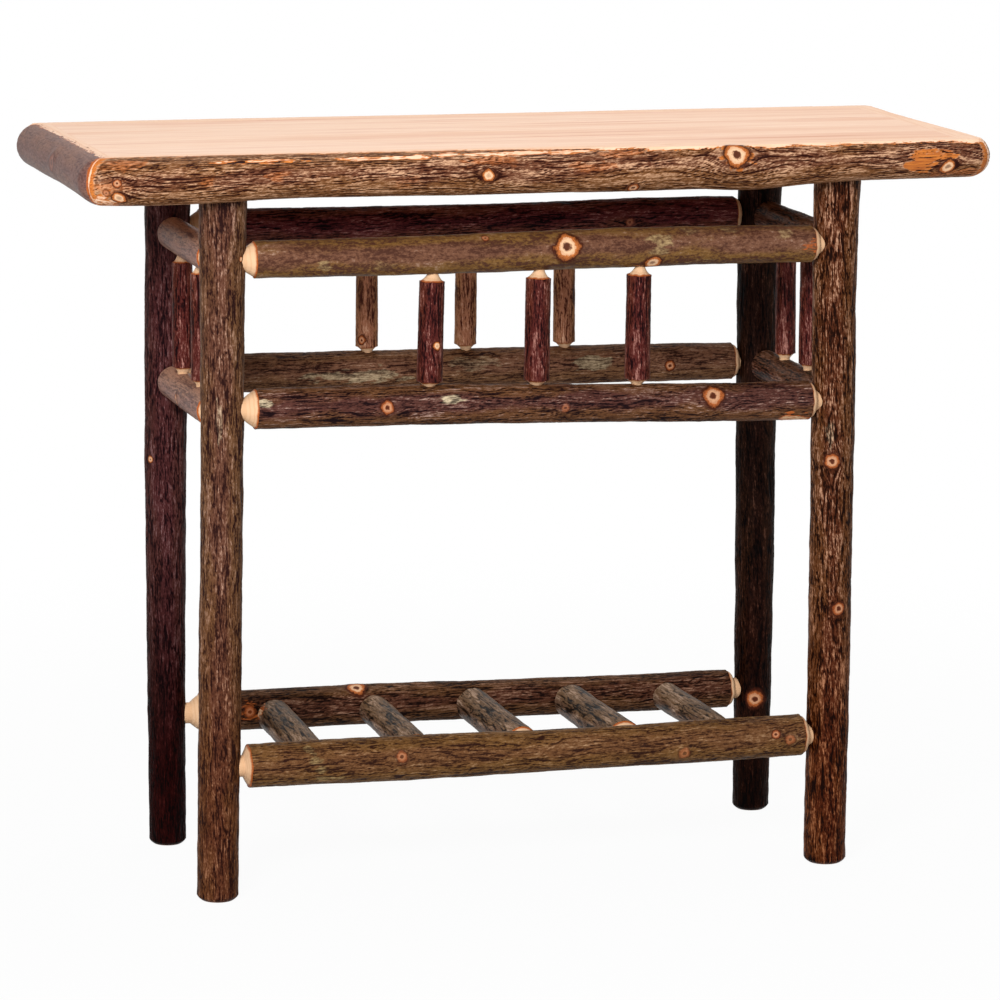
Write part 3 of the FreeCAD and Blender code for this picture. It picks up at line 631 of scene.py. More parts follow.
def swept_round_corners(node, length, run, inward, cut, relief, lump):
    """The run along the log, the distance inwards and the cut, once both ends are rounded.

    Near a mitre, what lies w in from the outer face moves to an arc of the corner's
    radius less w, and the cut deepens towards the mitre as by sanding.
    """
    for mirrored in (False, True):
        ahead = length - run if mirrored else run
        sanding, pale_share = SANDED_ENDS[node][int(mirrored)]
        near_end = np.clip(1 - (ahead - inward) / sanding + 0.2 * lump, 0, 1)
        bare = 0.5 + 1.2 * near_end + 3.0 * fade(near_end, 0.96 - pale_share, 1.06 - pale_share)
        bare = np.where(near_end > 0, bare + 0.9 * relief * (1 - near_end), 0.0)
        cut = np.maximum(cut, bare)
        aside_x = np.maximum(CORNER_RADIUS_MM - ahead, 0)
        aside_y = np.maximum(CORNER_RADIUS_MM - inward, 0)
        scale = aside_y / np.maximum(np.hypot(aside_x, aside_y), 1e-6)
        ahead = np.where(aside_x > 0, CORNER_RADIUS_MM - aside_x * scale, ahead)
        inward = np.where(aside_x > 0, CORNER_RADIUS_MM - aside_y * scale, inward)
        run = length - ahead if mirrored else ahead
    return run, inward, cut


def add_edge_log(node, kind_name, material, seed):
    """A log round the top: a circle tangent to the outer face, planed level above.

    For a height h and a planed border b the radius is h+b-sqrt(2hb), or h/2 where the
    border lies past the middle. Both ends run to the mitre and follow the top's rounded
    corners.
    """
    kind = BARK_KINDS[kind_name]
    low, high = (np.array(corner) / MM for corner in cad_bounds)
    along, across, corner = (np.array(part) for part in EDGE_LOG_FRAMES[node])
    length = abs((high - low)[:2] @ along)
    table = np.array(EDGE_LOGS[node])
    share = np.linspace(0, 1, int(length / BARK_ROW_MM * 1.1))
    ease = 0.5 - 0.5 * np.cos(np.pi * share)
    share = (0.8 * share + 0.2 * ease)[:, None]
    angle = np.linspace(0, 2 * math.pi, EDGE_COLUMNS, endpoint=False)[None, :] + math.pi / 2
    sine = np.sin(angle)

    height = smooth_between(share, table[:, 0], table[:, 1])
    border = smooth_between(share, table[:, 0], table[:, 2])
    tangent = height + border - np.sqrt(2 * height * border)
    radius = np.where(border < height / 2, tangent, height / 2)
    middle = height - radius
    place = share * length + 0 * angle
    turned = angle - math.pi + 0 * place
    bent = flow_round(node, place, turned, radius)
    relief = bark_relief(place, bent, radius + 0 * angle, kind, seed)
    local = in_pole(place, angle, radius)
    lump = stretched_noise(local, 0.015, 0.03, seed + 7)
    ragged = 1.3 * stretched_noise(local, 0.03, 0.0, seed + 8, 3.3)
    ragged = ragged + 0.5 * stretched_noise(local, 0.11, 0.0, seed + 8, 7.7)
    nearest, collar, pale = knots_on(node, place, turned, radius)
    scraped = patches_on(SCRAPES, node, place, turned, radius, local, seed)
    scraped = np.maximum(scraped * (1 + 1.1 * relief), 0)
    patch = patches_on(PATCHES, node, place, turned, radius, local, seed)
    relief = relief * fade(nearest, *KNOT_EDGE)
    bared = fade(scraped, 0.2, 0.8)
    relief = relief * (1 - 0.5 * bared) - 0.3 * bared
    reach = radius - 0.2 + 0.7 * np.minimum(lump, 0) + kind.depth * relief
    reach = np.minimum(reach + collar, radius + 1.5)
    inward = np.maximum(radius + reach * np.cos(angle), 0.15)
    depth = middle - reach * sine

    past_middle = (inward > radius) & (sine > 0)
    depth = np.where(past_middle, np.minimum(depth, 0.25 - 0.5 * relief), depth)
    from_border = inward - border + ragged
    strip = 0.45 * border + 2
    planed = np.clip((from_border + strip) / strip, 0, 1.6) * (sine > 0)
    steep = BORDER_STEEPNESS[kind_name]
    cut = np.maximum(steep * (planed + relief) - steep / 3, 0) * (planed > 0)
    cut = np.where((planed > 1) | (depth < -0.6), PLANED_CUT_MM, cut)
    cut = np.maximum(cut, scraped)
    depth = np.where(past_middle & (from_border > 0), 0.0, np.maximum(depth, 0))
    inward = np.minimum(inward, EDGE_WIDTH_MM)
    run = inward + (length - 2 * inward) * share
    run, inward, cut = swept_round_corners(node, length, run, inward, cut, relief, lump)
    relief = relief * (1 - fade(cut, 0.1, 0.6))

    origin = np.where(corner > 0, high[:2], low[:2])
    flat = origin + run[..., None] * along + inward[..., None] * across
    points = np.concatenate([flat, (high[2] - depth)[..., None]], -1)[:, ::-1]
    wood_at = np.stack([run, inward - radius, middle - depth], -1)[:, ::-1]
    marks = {"relief": relief, "cut": cut, "knot": nearest, "knot_pale": pale, "patch": patch}
    marks = {mark: values[:, ::-1] for mark, values in marks.items()}
    add_bark_piece(node + "_log", node, points, wood_at, marks, material)


BOARD_ROWS = 220
BOARD_EDGE_MM = 0.25


def add_board(node, material, seed):
    """A board of the top: a rectangle's outline carried along X, its long edges eased.

    The place in the wood counts from a pith below the board, which differs from board
    to board.
    """
    low, high = (np.array(corner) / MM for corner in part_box(node))
    x = np.linspace(low[0], high[0], BOARD_ROWS)
    y = np.linspace(low[1] + BOARD_EDGE_MM, high[1] - BOARD_EDGE_MM, 40)
    z = np.linspace(low[2] + BOARD_EDGE_MM, high[2] - BOARD_EDGE_MM, 8)
    outline = np.concatenate(
        [
            np.stack([y, np.full_like(y, high[2])], -1),
            np.stack([np.full_like(z, high[1]), z[::-1]], -1),
            np.stack([y[::-1], np.full_like(y, low[2])], -1),
            np.stack([np.full_like(z, low[1]), z], -1),
        ]
    )
    points = np.empty((len(x), len(outline), 3))
    points[..., 0] = x[:, None]
    points[..., 1:] = outline[None]
    mesh = grid_mesh(node + "_plank", points)
    mesh.shade_flat()
    pith = np.array([0.0, (seed * 37 % 60) - 30.0, -40.0 - (seed * 53 % 50)])
    middle = np.array([0.0, (low[1] + high[1]) / 2, high[2]])
    wood_at = points - middle - pith + np.array([seed * 900.0, 0, 0])
    store(mesh, "wood_at", wood_at * MM)
    add_piece(node + "_board", mesh, material, node)


class Signal:
    """An output of a node, from which sums and products make further nodes."""

    def __init__(self, socket):
        self.socket = socket

    def __add__(self, other):
        return maths("ADD", self, other)

    def __sub__(self, other):
        return maths("SUBTRACT", self, other)

    def __rsub__(self, other):
        return maths("SUBTRACT", other, self)

    def __mul__(self, other):
        return maths("MULTIPLY", self, other)

    def __truediv__(self, other):
        return maths("DIVIDE", self, other)


def add_node(kind, inputs, tree=None, **settings):
    """A node with its settings, each input a constant or a signal.

    Without a tree it goes where its first signal comes from.
    """
    if tree is None:
        tree = next(value for value in inputs.values() if isinstance(value, Signal)).socket.id_data
    node = tree.nodes.new(kind)
    for name, value in settings.items():
        setattr(node, name, value)
    for name, value in inputs.items():
        if isinstance(value, Signal):
            tree.links.new(value.socket, node.inputs[name])
        else:
            node.inputs[name].default_value = value
    return node


def result(kind, inputs, output=0, **settings):
    """The signal that comes out of a new node."""
    return Signal(add_node(kind, inputs, **settings).outputs[output])


def maths(operation, *values):
    """The result of a Math node."""
    return result("ShaderNodeMath", dict(enumerate(values)), operation=operation)


def step(value, low, high):
    """A smooth step from zero at low to one at high."""
    inputs = {"Value": value, "From Min": low, "From Max": high}
    return result("ShaderNodeMapRange", inputs, interpolation_type="SMOOTHSTEP")


def mix(factor, first, second, blend="MIX"):
    """Two colours mixed."""
    inputs = {0: factor, 6: first, 7: second}
    return result("ShaderNodeMix", inputs, 2, data_type="RGBA", blend_type=blend)


def mix_values(factor, first, second):
    """Two numbers mixed."""
    return result("ShaderNodeMix", {0: factor, 2: first, 3: second}, data_type="FLOAT")


def cloud(place, scale, detail, roughness):
    """The value of a Noise Texture."""
    inputs = {"Vector": place, "Scale": scale, "Detail": detail, "Roughness": roughness}
    return result("ShaderNodeTexNoise", inputs)


def grain(place, squeeze, scale, detail, roughness):
    """Noise drawn out along the wood, whose length is squeezed first."""
    inputs = {0: place, 1: (squeeze, 1.0, 1.0)}
    drawn = result("ShaderNodeVectorMath", inputs, operation="MULTIPLY")
    return cloud(drawn, scale, detail, roughness)


def split(place):
    """The three coordinates of a place: along the wood and twice across it."""
    return [Signal(socket) for socket in add_node("ShaderNodeSeparateXYZ", {0: place}).outputs]


def from_axis(place):
    """The distance from the axis of the wood."""
    _, across, up = split(place)
    return maths("SQRT", across * across + up * up)


def bumped(height, strength, distance):
    """The normal of a surface with a relief of its own."""
    inputs = {"Strength": strength, "Distance": distance, "Height": height}
    return result("ShaderNodeBump", inputs)


def bark_look(given):
    """Bark: dark furrows, ridges with pale crests that are partly a painted highlight, a tint above
    and below, stains, and painted shade near the foot.
    """
    place = given["Place"]
    fibre = grain(place, 0.06, 620.0, 5.0, 0.7)
    fine = grain(place, 0.22, 1500.0, 3.0, 0.6)
    broad = grain(place, 0.35, 24.0, 4.0, 0.6)
    plates = grain(place, 0.18, 75.0, 3.0, 0.6)
    mottle = grain(place, 0.6, 260.0, 5.0, 0.7)
    tone = (given["Relief"] + 0.35) * given["Furrows"] + 0.32
    tone = tone + (fibre - 0.5) * given["Streaks"]
    tone = tone + (mottle - 0.5) * given["Mottle"]
    tone = tone + (fine - 0.5) * 0.8
    tone = tone + (plates - 0.5) * given["Plates"]

    along, _, up = split(place)
    rise = up / from_axis(place)
    off_middle = maths("ABSOLUTE", rise - 0.2) + broad * 2.4
    tinted = step(off_middle, 1.35, 1.95) * given["Tint Amount"]
    middle = mix(tinted, given["Middle"], given["Tint"])
    # The pale crest colour is partly the ridges' own paler bark and partly a painted highlight of
    # the varnish's sheen.
    crest_highlight = mix(tinted * 0.3, given["Light"], given["Tint"])
    colour = mix(step(tone, 0.05, 0.5), given["Dark"], middle)
    colour = mix(step(tone, 0.5, 1.0), colour, crest_highlight)

    stain = step(given["Patch"] + (mottle - 0.5) * 1.2, 0.1, 1.0) * 0.7
    stained = mix(step(tone, 0.75, 0.1) * 0.85, given["Stain"], given["Dark"])
    colour = mix(stain, colour, stained)
    # Painted shade: towards the floor the bark is darkened, for the less light that reaches the
    # feet.
    foot_shaded = mix(1.0, colour, given["Foot Shade"], "MULTIPLY")
    colour = mix(step(along, 0.5, 0.1), colour, foot_shaded)
    return {
        "Color": colour,
        "Roughness": plates * 0.3 + 0.24,
        "Height": fibre * 0.75 + fine * 0.25,
    }


def bare_look(given):
    """Wood under the bark: orange inner bark where little is cut away, then pale wood."""
    place = given["Place"]
    cut = given["Cut"] + (grain(place, 0.4, 170.0, 4.0, 0.6) - 0.5) * 1.6
    wander = grain(place, 0.25, 45.0, 2.0, 0.5)
    ring = step(maths("SINE", from_axis(place) * 1700.0 + wander * 5.0), 0.1, 1.0)
    fibre = grain(place, 0.06, 700.0, 3.0, 0.6)
    wood = mix((ring + fibre) * 0.27, given["Wood"], given["Ring"])
    shaded = mix(0.7, given["Inner"], INNER_SHADE)
    inner = mix(step(fibre, 0.3, 0.75), shaded, given["Inner"])
    colour = mix(step(cut, 1.7, 3.1), inner, wood)
    return {"Color": colour, "Mask": step(cut, 0.35, 0.85), "Height": fibre}


def knot_look(given):
    """A trimmed branch: dark heart, concentric pale and orange rings, a brown rim."""
    wander = cloud(given["Place"], 260.0, 3.0, 0.6)
    crumbs = cloud(given["Place"], 900.0, 3.0, 0.6)
    spread = given["Knot"] + (wander - 0.5) * 0.45
    rings = step(maths("SINE", spread * 24.0), -0.2, 1.0)
    warm = mix(rings * 0.4 + 0.5, given["Inner"], INNER_SHADE)
    pale = mix(rings * 0.3, given["Wood"], given["Inner"])
    face = mix(given["Pale"] * 0.9 + 0.1, warm, pale)
    dull = (1.0 - given["Pale"]) * 0.62
    around = mix(rings * 0.35 + dull, given["Inner"], INNER_SHADE)
    around = mix(step(crumbs, 0.4, 0.6) * 0.5 + 0.5, KNOT_RIM, around)
    colour = mix(step(spread, 0.62, 0.72), face, around)
    colour = mix(step(spread, 0.82, 1.02), colour, KNOT_RIM)
    heart = step(spread, 0.4, 0.24) * (0.96 - step(given["Pale"], 1.0, 1.2) * 0.65)
    colour = mix(heart, colour, KNOT_HEART)
    shown = step(given["Pale"], 0.0, 0.25) * 0.4 + 0.6
    return {"Color": colour, "Mask": (1.0 - step(spread, 1.0, 1.35)) * shown}


def plank_look(given):
    """Glued hickory boards: long faint rings, fine pores and a few dark streaks."""
    place = given["Place"]
    wander = grain(place, 0.09, 14.0, 3.0, 0.5)
    ring = step(maths("SINE", from_axis(place) * 900.0 + wander * 18.0), 0.1, 1.0)
    pores = grain(place, 0.02, 800.0, 3.0, 0.6)
    broad = grain(place, 0.05, 18.0, 3.0, 0.6)
    thin = grain(place, 0.03, 75.0, 3.0, 0.6)
    colour = mix(ring * 0.28, given["Wood"], given["Ring"])
    colour = mix(step(pores, 0.45, 0.75) * 0.7, colour, given["Ring"])
    colour = mix(step(broad, 0.42, 0.68) * 0.9, colour, given["Ring"])
    colour = mix(step(thin, 0.57, 0.74) * 0.8, colour, given["Streak"])
    return {"Color": colour, "Roughness": pores * 0.12 + 0.26, "Height": pores}


def paint(red, green, blue):
    """A colour as a screen shows it, from 0 to 255, in the linear values of a shader."""
    shown = np.array([red, green, blue]) / 255
    linear = np.where(shown > 0.04045, ((shown + 0.055) / 1.055) ** 2.4, shown / 12.92)
    return (*(float(value) for value in linear), 1.0)


PALE_WOOD = paint(217, 179, 143)
RING_WOOD = paint(186, 138, 96)
INNER_BARK = paint(182, 98, 42)
EDGE_INNER_BARK = paint(206, 124, 54)
DULL_KNOT = paint(150, 96, 76)
INNER_SHADE = paint(122, 54, 34)
KNOT_RING = paint(192, 112, 56)
KNOT_RIM = paint(58, 24, 14)
KNOT_HEART = paint(70, 24, 10)
TOP_WOOD = paint(234, 197, 168)
TOP_RING = paint(216, 158, 118)
TOP_STREAK = paint(198, 120, 78)

# Each bark's colours: its furrows, ridges, crests, tint and stains. The crests' colour is partly a
# painted highlight of the varnish.
BARK_COLOURS = {
    "leg": ((36, 16, 14), (90, 56, 42), (172, 136, 116), (104, 74, 42), (200, 182, 150)),
    "right_leg": ((22, 5, 1), (80, 40, 22), (184, 140, 112), (98, 62, 30), (190, 175, 145)),
    # The two back legs' colours are darkened as painted shade, for the less light that reaches the
    # back of the table.
    "shaded_back_leg": ((20, 5, 8), (66, 32, 32), (124, 92, 92), (66, 38, 30), (150, 110, 80)),
    "shadowed_leg": ((4, 1, 1), (30, 13, 8), (90, 60, 48), (40, 22, 10), (170, 90, 40)),
    "smooth_rail": ((68, 40, 30), (106, 71, 53), (164, 133, 114), (114, 83, 36), (172, 148, 104)),
    "rail": ((20, 6, 9), (80, 47, 40), (182, 152, 138), (108, 72, 38), (222, 204, 168)),
    "shelf_rail": ((40, 18, 10), (98, 64, 38), (166, 132, 98), (108, 76, 38), (168, 146, 100)),
    # The back upper rail's colours are darkened as painted shade, for the less light under the top
    # at the back.
    "shaded_back_rail": ((14, 1, 5), (84, 34, 36), (164, 116, 110), (104, 62, 42), (165, 140, 108)),
    "back_middle": ((36, 16, 12), (106, 72, 54), (184, 152, 128), (112, 80, 50), (176, 160, 128)),
    # The back shelf rail's colours are darkened as painted shade, for the less light at the back of
    # the table.
    "back_shelf": ((18, 6, 4), (70, 40, 28), (142, 108, 88), (92, 64, 36), (165, 145, 110)),
    "side_rail": ((84, 56, 50), (146, 108, 94), (178, 146, 132), (170, 128, 100), (165, 145, 110)),
    "right_side_rail": ((14, 4, 2), (78, 46, 34), (134, 100, 84), (88, 58, 36), (165, 145, 110)),
    "spindle": ((20, 3, 5), (76, 30, 26), (172, 122, 110), (84, 40, 24), (190, 120, 70)),
    "back_spindle": ((60, 28, 20), (144, 94, 70), (200, 158, 130), (154, 110, 68), (190, 120, 70)),
    "rung": ((16, 8, 4), (96, 70, 54), (172, 144, 122), (108, 82, 54), (190, 120, 70)),
    "edge": ((38, 12, 6), (96, 56, 38), (204, 160, 126), (120, 80, 42), (182, 100, 46)),
    "smooth_edge": ((88, 60, 56), (120, 88, 80), (162, 130, 122), (130, 96, 80), (190, 110, 70)),
}
# How much each bark's tint, furrows, streaks, mottle and plates show, and how much gloss
# its varnish has.
BARK_AMOUNTS = {
    "leg": (0.5, 0.85, 1.4, 1.0, 0.8, 0.02),
    "right_leg": (0.5, 1.1, 1.6, 1.0, 0.9, 0.03),
    "shaded_back_leg": (0.5, 0.9, 1.5, 0.8, 0.7, 0.01),
    "shadowed_leg": (0.5, 0.7, 1.2, 0.8, 0.7, 0.01),
    "smooth_rail": (0.75, 0.12, 0.4, 1.7, 1.3, 0.09),
    "rail": (0.6, 0.8, 1.2, 0.5, 0.8, 0.05),
    "shelf_rail": (0.65, 0.8, 1.1, 1.0, 0.8, 0.07),
    "shaded_back_rail": (0.5, 0.9, 1.1, 0.5, 0.8, 0.02),
    "back_middle": (0.5, 0.6, 1.1, 0.8, 0.8, 0.01),
    "back_shelf": (0.5, 1.1, 1.3, 0.6, 0.8, 0.01),
    "side_rail": (0.5, 0.4, 0.8, 0.4, 0.8, 0.02),
    "right_side_rail": (0.5, 1.0, 1.2, 0.6, 0.8, 0.01),
    "spindle": (0.5, 0.9, 1.2, 0.6, 0.8, 0.05),
    "back_spindle": (0.5, 0.8, 0.9, 0.8, 1.0, 0.01),
    "rung": (0.6, 1.0, 1.1, 0.3, 1.8, 0.01),
    "edge": (0.55, 1.5, 0.6, 0.35, 0.3, 0.05),
    "smooth_edge": (0.7, 0.25, 0.3, 1.4, 0.8, 0.06),
}
# What the bark's colour is multiplied by near the floor: painted shade, for the less light that
# reaches the feet.
FOOT_SHADE_COLOURS = {
    "leg": (0.78, 0.6, 0.45, 1.0),
    "right_leg": (0.72, 0.5, 0.34, 1.0),
    "shaded_back_leg": (0.22, 0.06, 0.05, 1.0),
    "shadowed_leg": (0.9, 0.7, 0.6, 1.0),
}
SAME_COLOUR = (1.0, 1.0, 1.0, 1.0)

# The sockets of the bark that its colours and amounts go to, in the order of the tables.
COLOUR_SOCKETS = ("Dark", "Middle", "Light", "Tint", "Stain")
AMOUNT_SOCKETS = ("Tint Amount", "Furrows", "Streaks", "Mottle", "Plates")


def new_group(name, look, colours, values, results):
    """A shared node group: its look works the results out of a place, colours and values."""
    tree = bpy.data.node_groups.new(name, "ShaderNodeTree")
    kinds = {"Place": "NodeSocketVector"}
    kinds.update({socket: "NodeSocketColor" for socket in colours})
    kinds.update({socket: "NodeSocketFloat" for socket in values})
    for socket, kind in kinds.items():
        tree.interface.new_socket(socket, in_out="INPUT", socket_type=kind)
    for socket in results:
        kind = "NodeSocketColor" if socket == "Color" else "NodeSocketFloat"
        tree.interface.new_socket(socket, in_out="OUTPUT", socket_type=kind)
    source = tree.nodes.new("NodeGroupInput")
    target = tree.nodes.new("NodeGroupOutput")
    found = look({socket: Signal(source.outputs[socket]) for socket in kinds})
    for socket in results:
        tree.links.new(found[socket].socket, target.inputs[socket])
    return tree


BARK_GROUP = new_group(
    "Bark",
    bark_look,
    (*COLOUR_SOCKETS, "Foot Shade"),
    (*AMOUNT_SOCKETS, "Relief", "Patch"),
    ("Color", "Roughness", "Height"),
)
BARE_GROUP = new_group(
    "Bare wood", bare_look, ("Inner", "Wood", "Ring"), ("Cut",), ("Color", "Mask", "Height")
)
KNOT_GROUP = new_group("Knot", knot_look, ("Wood", "Inner"), ("Knot", "Pale"), ("Color", "Mask"))
PLANK_GROUP = new_group(
    "Planks", plank_look, ("Wood", "Ring", "Streak"), (), ("Color", "Roughness", "Height")
)


def use_group(group, inputs):
    """The results of a shared group for these inputs."""
    node = add_node("ShaderNodeGroup", inputs, node_tree=group)
    return {socket.name: Signal(socket) for socket in node.outputs}


def empty_tree(owner):
    """The node tree of a material or a world, with nothing in it."""
    owner.use_nodes = True
    owner.node_tree.nodes.clear()
    return owner.node_tree


def end_tree(tree, kind, shader):
    """Shows a shader on the surface that the tree is for."""
    target = tree.nodes.new(kind)
    tree.links.new(shader.outputs[0], target.inputs["Surface"])


def kept(tree, name, output="Fac"):
    """What the mesh keeps under a name."""
    return result("ShaderNodeAttribute", {}, output, tree=tree, attribute_name=name)


def bark_material(kind):
    """Varnished bark with bare ends and trimmed knots."""
    colours = {name: paint(*row) for name, row in zip(COLOUR_SOCKETS, BARK_COLOURS[kind])}
    *amounts, gloss = BARK_AMOUNTS[kind]
    material = bpy.data.materials.new(f"Bark, {kind.replace('_', ' ')}")
    tree = empty_tree(material)
    place = kept(tree, "wood_at", "Vector")
    bark = use_group(
        BARK_GROUP,
        {
            "Place": place,
            "Relief": kept(tree, "relief"),
            "Patch": kept(tree, "patch"),
            "Foot Shade": FOOT_SHADE_COLOURS.get(kind, SAME_COLOUR),
            **colours,
            **dict(zip(AMOUNT_SOCKETS, amounts)),
        },
    )
    bare = use_group(
        BARE_GROUP,
        {
            "Place": place,
            "Cut": kept(tree, "cut"),
            "Inner": EDGE_INNER_BARK if kind == "edge" else INNER_BARK,
            "Wood": TOP_WOOD if "edge" in kind else PALE_WOOD,
            "Ring": TOP_RING if "edge" in kind else RING_WOOD,
        },
    )
    knot = use_group(
        KNOT_GROUP,
        {
            "Place": place,
            "Knot": kept(tree, "knot"),
            "Pale": kept(tree, "knot_pale"),
            "Wood": PALE_WOOD,
            "Inner": DULL_KNOT if kind == "smooth_edge" else KNOT_RING,
        },
    )
    colour = mix(bare["Mask"], bark["Color"], bare["Color"])
    colour = mix(knot["Mask"], colour, knot["Color"])
    smooth = maths("MAXIMUM", bare["Mask"], knot["Mask"])
    normal = bumped(mix_values(smooth, bark["Height"], bare["Height"]), 0.55, 0.0006)
    looks = {
        "Base Color": colour,
        "Roughness": mix_values(smooth, bark["Roughness"], 0.34),
        "Normal": normal,
        "Coat Normal": normal,
        "Specular IOR Level": 0.02,
        "Coat Weight": gloss,
        "Coat Roughness": 0.2,
    }
    end_tree(tree, "ShaderNodeOutputMaterial", add_node("ShaderNodeBsdfPrincipled", looks))
    return material


def board_material():
    """The varnished boards of the top."""
    material = bpy.data.materials.new("Boards, satin varnish")
    tree = empty_tree(material)
    colours = {"Wood": TOP_WOOD, "Ring": TOP_RING, "Streak": TOP_STREAK}
    plank = use_group(PLANK_GROUP, {"Place": kept(tree, "wood_at", "Vector"), **colours})
    looks = {
        "Base Color": plank["Color"],
        "Roughness": plank["Roughness"],
        "Normal": bumped(plank["Height"], 0.1, 0.0002),
        "Specular IOR Level": 0.08,
        "Coat Weight": 0.03,
        "Coat Roughness": 0.18,
    }
    end_tree(tree, "ShaderNodeOutputMaterial", add_node("ShaderNodeBsdfPrincipled", looks))
    return material


MATERIALS = {kind: bark_material(kind) for kind in BARK_COLOURS}
BOARDS = board_material()

LEG_COLOURS = {
    "leg_front_left": "leg",
    "leg_front_right": "right_leg",
    # The back legs take the colours darkened as painted shade.
    "leg_back_left": "shaded_back_leg",
    "leg_back_right": "shadowed_leg",
}
RAIL_COLOURS = {
    "front_upper_rail": "smooth_rail",
    "front_middle_rail": "rail",
    "front_shelf_rail": "shelf_rail",
    "back_middle_rail": "back_middle",
    # The back shelf rail takes colours darkened as painted shade.
    "back_shelf_rail": "back_shelf",
}
# How the shoulders bulge at the start and end of each kind of pole.
SPINDLE_DOMES = (0.85, 0.8)
SHORT_POLE_DOMES = (1.4, 1.4)
LONG_RAIL_DOMES = (1.08, 2.0)
SEED_STEP = 17


def add_table():
    """Every piece of the table in place of its CAD node."""
    for count, node in enumerate(sorted(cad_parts), start=1):
        seed = count * SEED_STEP
        if node.startswith("leg_"):
            add_leg(node, MATERIALS[LEG_COLOURS[node]], seed)
        elif node.startswith("top_board"):
            add_board(node, BOARDS, seed)
        elif node.endswith("edge_log"):
            kind = "smooth_edge" if node.startswith("left") else "edge"
            add_edge_log(node, kind, MATERIALS[kind], seed)
        elif "spindle" in node:
            look = MATERIALS["back_spindle" if node.startswith("back") else "spindle"]
            add_pole(node, "z", "spindle", look, seed, SPINDLE_DOMES)
        elif "rung" in node:
            add_pole(node, "y", "rung", MATERIALS["rung"], seed, SHORT_POLE_DOMES)
        elif node.startswith("left"):
            look = MATERIALS["side_rail"]
            add_pole(node, "y", "side_rail", look, seed, SHORT_POLE_DOMES)
        elif node.startswith("right"):
            look = MATERIALS["right_side_rail"]
            add_pole(node, "y", "rail", look, seed, SHORT_POLE_DOMES)
        else:
            kind = "smooth_rail" if node == "front_upper_rail" else "rail"
            # Rails not listed, such as the back upper rail, take colours darkened as painted shade.
            look = MATERIALS[RAIL_COLOURS.get(node, "shaded_back_rail")]
            add_pole(node, "x", kind, look, seed, LONG_RAIL_DOMES)


def add_camera():
    """The camera at the photograph's place, turned by its azimuth, elevation and roll."""
    azimuth, elevation, roll = (
        math.radians(angle) for angle in (CAMERA_AZIMUTH, CAMERA_ELEVATION, CAMERA_ROLL)
    )
    back = Vector(
        (
            math.sin(azimuth) * math.cos(elevation),
            -math.cos(azimuth) * math.cos(elevation),
            math.sin(elevation),
        )
    )
    level = Vector((math.cos(azimuth), math.sin(azimuth), 0))
    upright = back.cross(level)
    right = level * math.cos(roll) + upright * math.sin(roll)
    up = -level * math.sin(roll) + upright * math.cos(roll)
    data = bpy.data.cameras.new("camera")
    data.lens = CAMERA_LENS_MM
    data.sensor_width = CAMERA_SENSOR_MM
    data.sensor_fit = "HORIZONTAL"
    data.clip_end = 200
    camera = bpy.data.objects.new("camera", data)
    bpy.context.scene.collection.objects.link(camera)
    turned = Matrix((right, up, back)).transposed().to_4x4()
    camera.matrix_world = Matrix.Translation(Vector(CAMERA_TARGET) + back * CAMERA_DISTANCE) @ turned
    bpy.context.scene.camera = camera


def add_lamp(name, place, aim, size, power):
    """A square soft lamp turned towards a point."""
    data = bpy.data.lights.new(name, "AREA")
    data.shape = "SQUARE"
    data.size = size
    data.energy = power
    lamp = bpy.data.objects.new(name, data)
    lamp.location = place
    lamp.rotation_euler = (Vector(aim) - Vector(place)).to_track_quat("-Z", "Y").to_euler()
    bpy.context.scene.collection.objects.link(lamp)


# The floor, in metres: half its side, the share of light that it lacks near the table,
# and the distances from and to which that fades out.
FLOOR_HALF = 40.0
FLOOR_SHADE = 0.045
FLOOR_SHADE_REACH = (0.7, 2.2)
FLOOR_COLOUR = (0.6, 0.6, 0.6, 1.0)
WHITE = (1, 1, 1, 1)
SKY_STRENGTH = 0.3

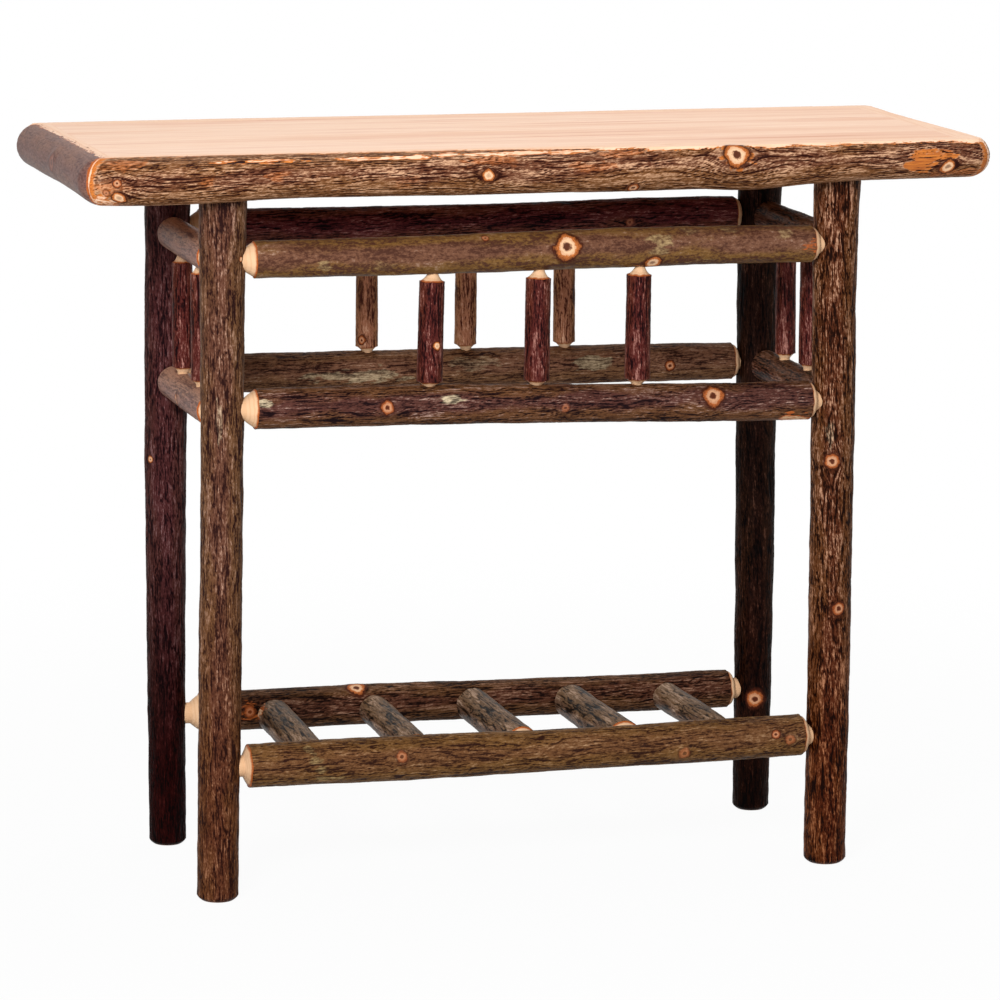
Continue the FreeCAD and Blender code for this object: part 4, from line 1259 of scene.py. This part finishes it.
# Each lamp's place, the point that it faces, its side in metres and its power in watts.
LAMPS = {
    "key": ((-2.0, -3.4, 2.3), (0, 0, 0.6), 1.2, 200),
    "fill": ((3.2, -4.4, 1.6), (0, 0, 0.5), 1.8, 30),
    "top": ((0.9, 0.6, 3.5), (0, 0, 0.9), 2.4, 50),
}


def seen_directly(tree):
    """One where the camera, a reflection or a clear body looks at the surface."""
    path = add_node("ShaderNodeLightPath", {}, tree).outputs
    rays = [Signal(path[f"Is {kind} Ray"]) for kind in ("Camera", "Glossy", "Transmission")]
    return maths("MAXIMUM", maths("MAXIMUM", rays[0], rays[1]), rays[2])


def add_floor():
    """A pale floor, which the camera sees near white."""
    corners = [(x * FLOOR_HALF, y * FLOOR_HALF, 0) for x, y in ((-1, -1), (1, -1), (1, 1), (-1, 1))]
    mesh = bpy.data.meshes.new("floor")
    mesh.from_pydata(corners, [], [(0, 1, 2, 3)])
    floor = bpy.data.objects.new("floor", mesh)
    bpy.context.scene.collection.objects.link(floor)
    material = bpy.data.materials.new("Floor")
    tree = empty_tree(material)
    matt = result("ShaderNodeBsdfDiffuse", {"Color": FLOOR_COLOUR}, tree=tree)
    glow = result("ShaderNodeEmission", {"Color": WHITE, "Strength": 1.0}, tree=tree)
    place = result("ShaderNodeTexCoord", {}, "Object", tree=tree)
    distance = result("ShaderNodeVectorMath", {0: place}, "Value", operation="LENGTH")
    glow_share = step(distance, *FLOOR_SHADE_REACH) * FLOOR_SHADE + (1 - FLOOR_SHADE)
    seen = seen_directly(tree) * glow_share
    both = add_node("ShaderNodeMixShader", {0: seen, 1: matt, 2: glow})
    end_tree(tree, "ShaderNodeOutputMaterial", both)
    mesh.materials.append(material)


def add_sky():
    """An even sky, which the camera sees white."""
    world = bpy.data.worlds.new("studio")
    bpy.context.scene.world = world
    tree = empty_tree(world)
    strength = seen_directly(tree) * (1 - SKY_STRENGTH) + SKY_STRENGTH
    sky = add_node("ShaderNodeBackground", {"Color": WHITE, "Strength": strength})
    end_tree(tree, "ShaderNodeOutputWorld", sky)


add_table()
add_camera()
for lamp, settings in LAMPS.items():
    add_lamp(lamp, *settings)
add_floor()
add_sky()
bpy.context.scene.view_settings.view_transform = "Standard"
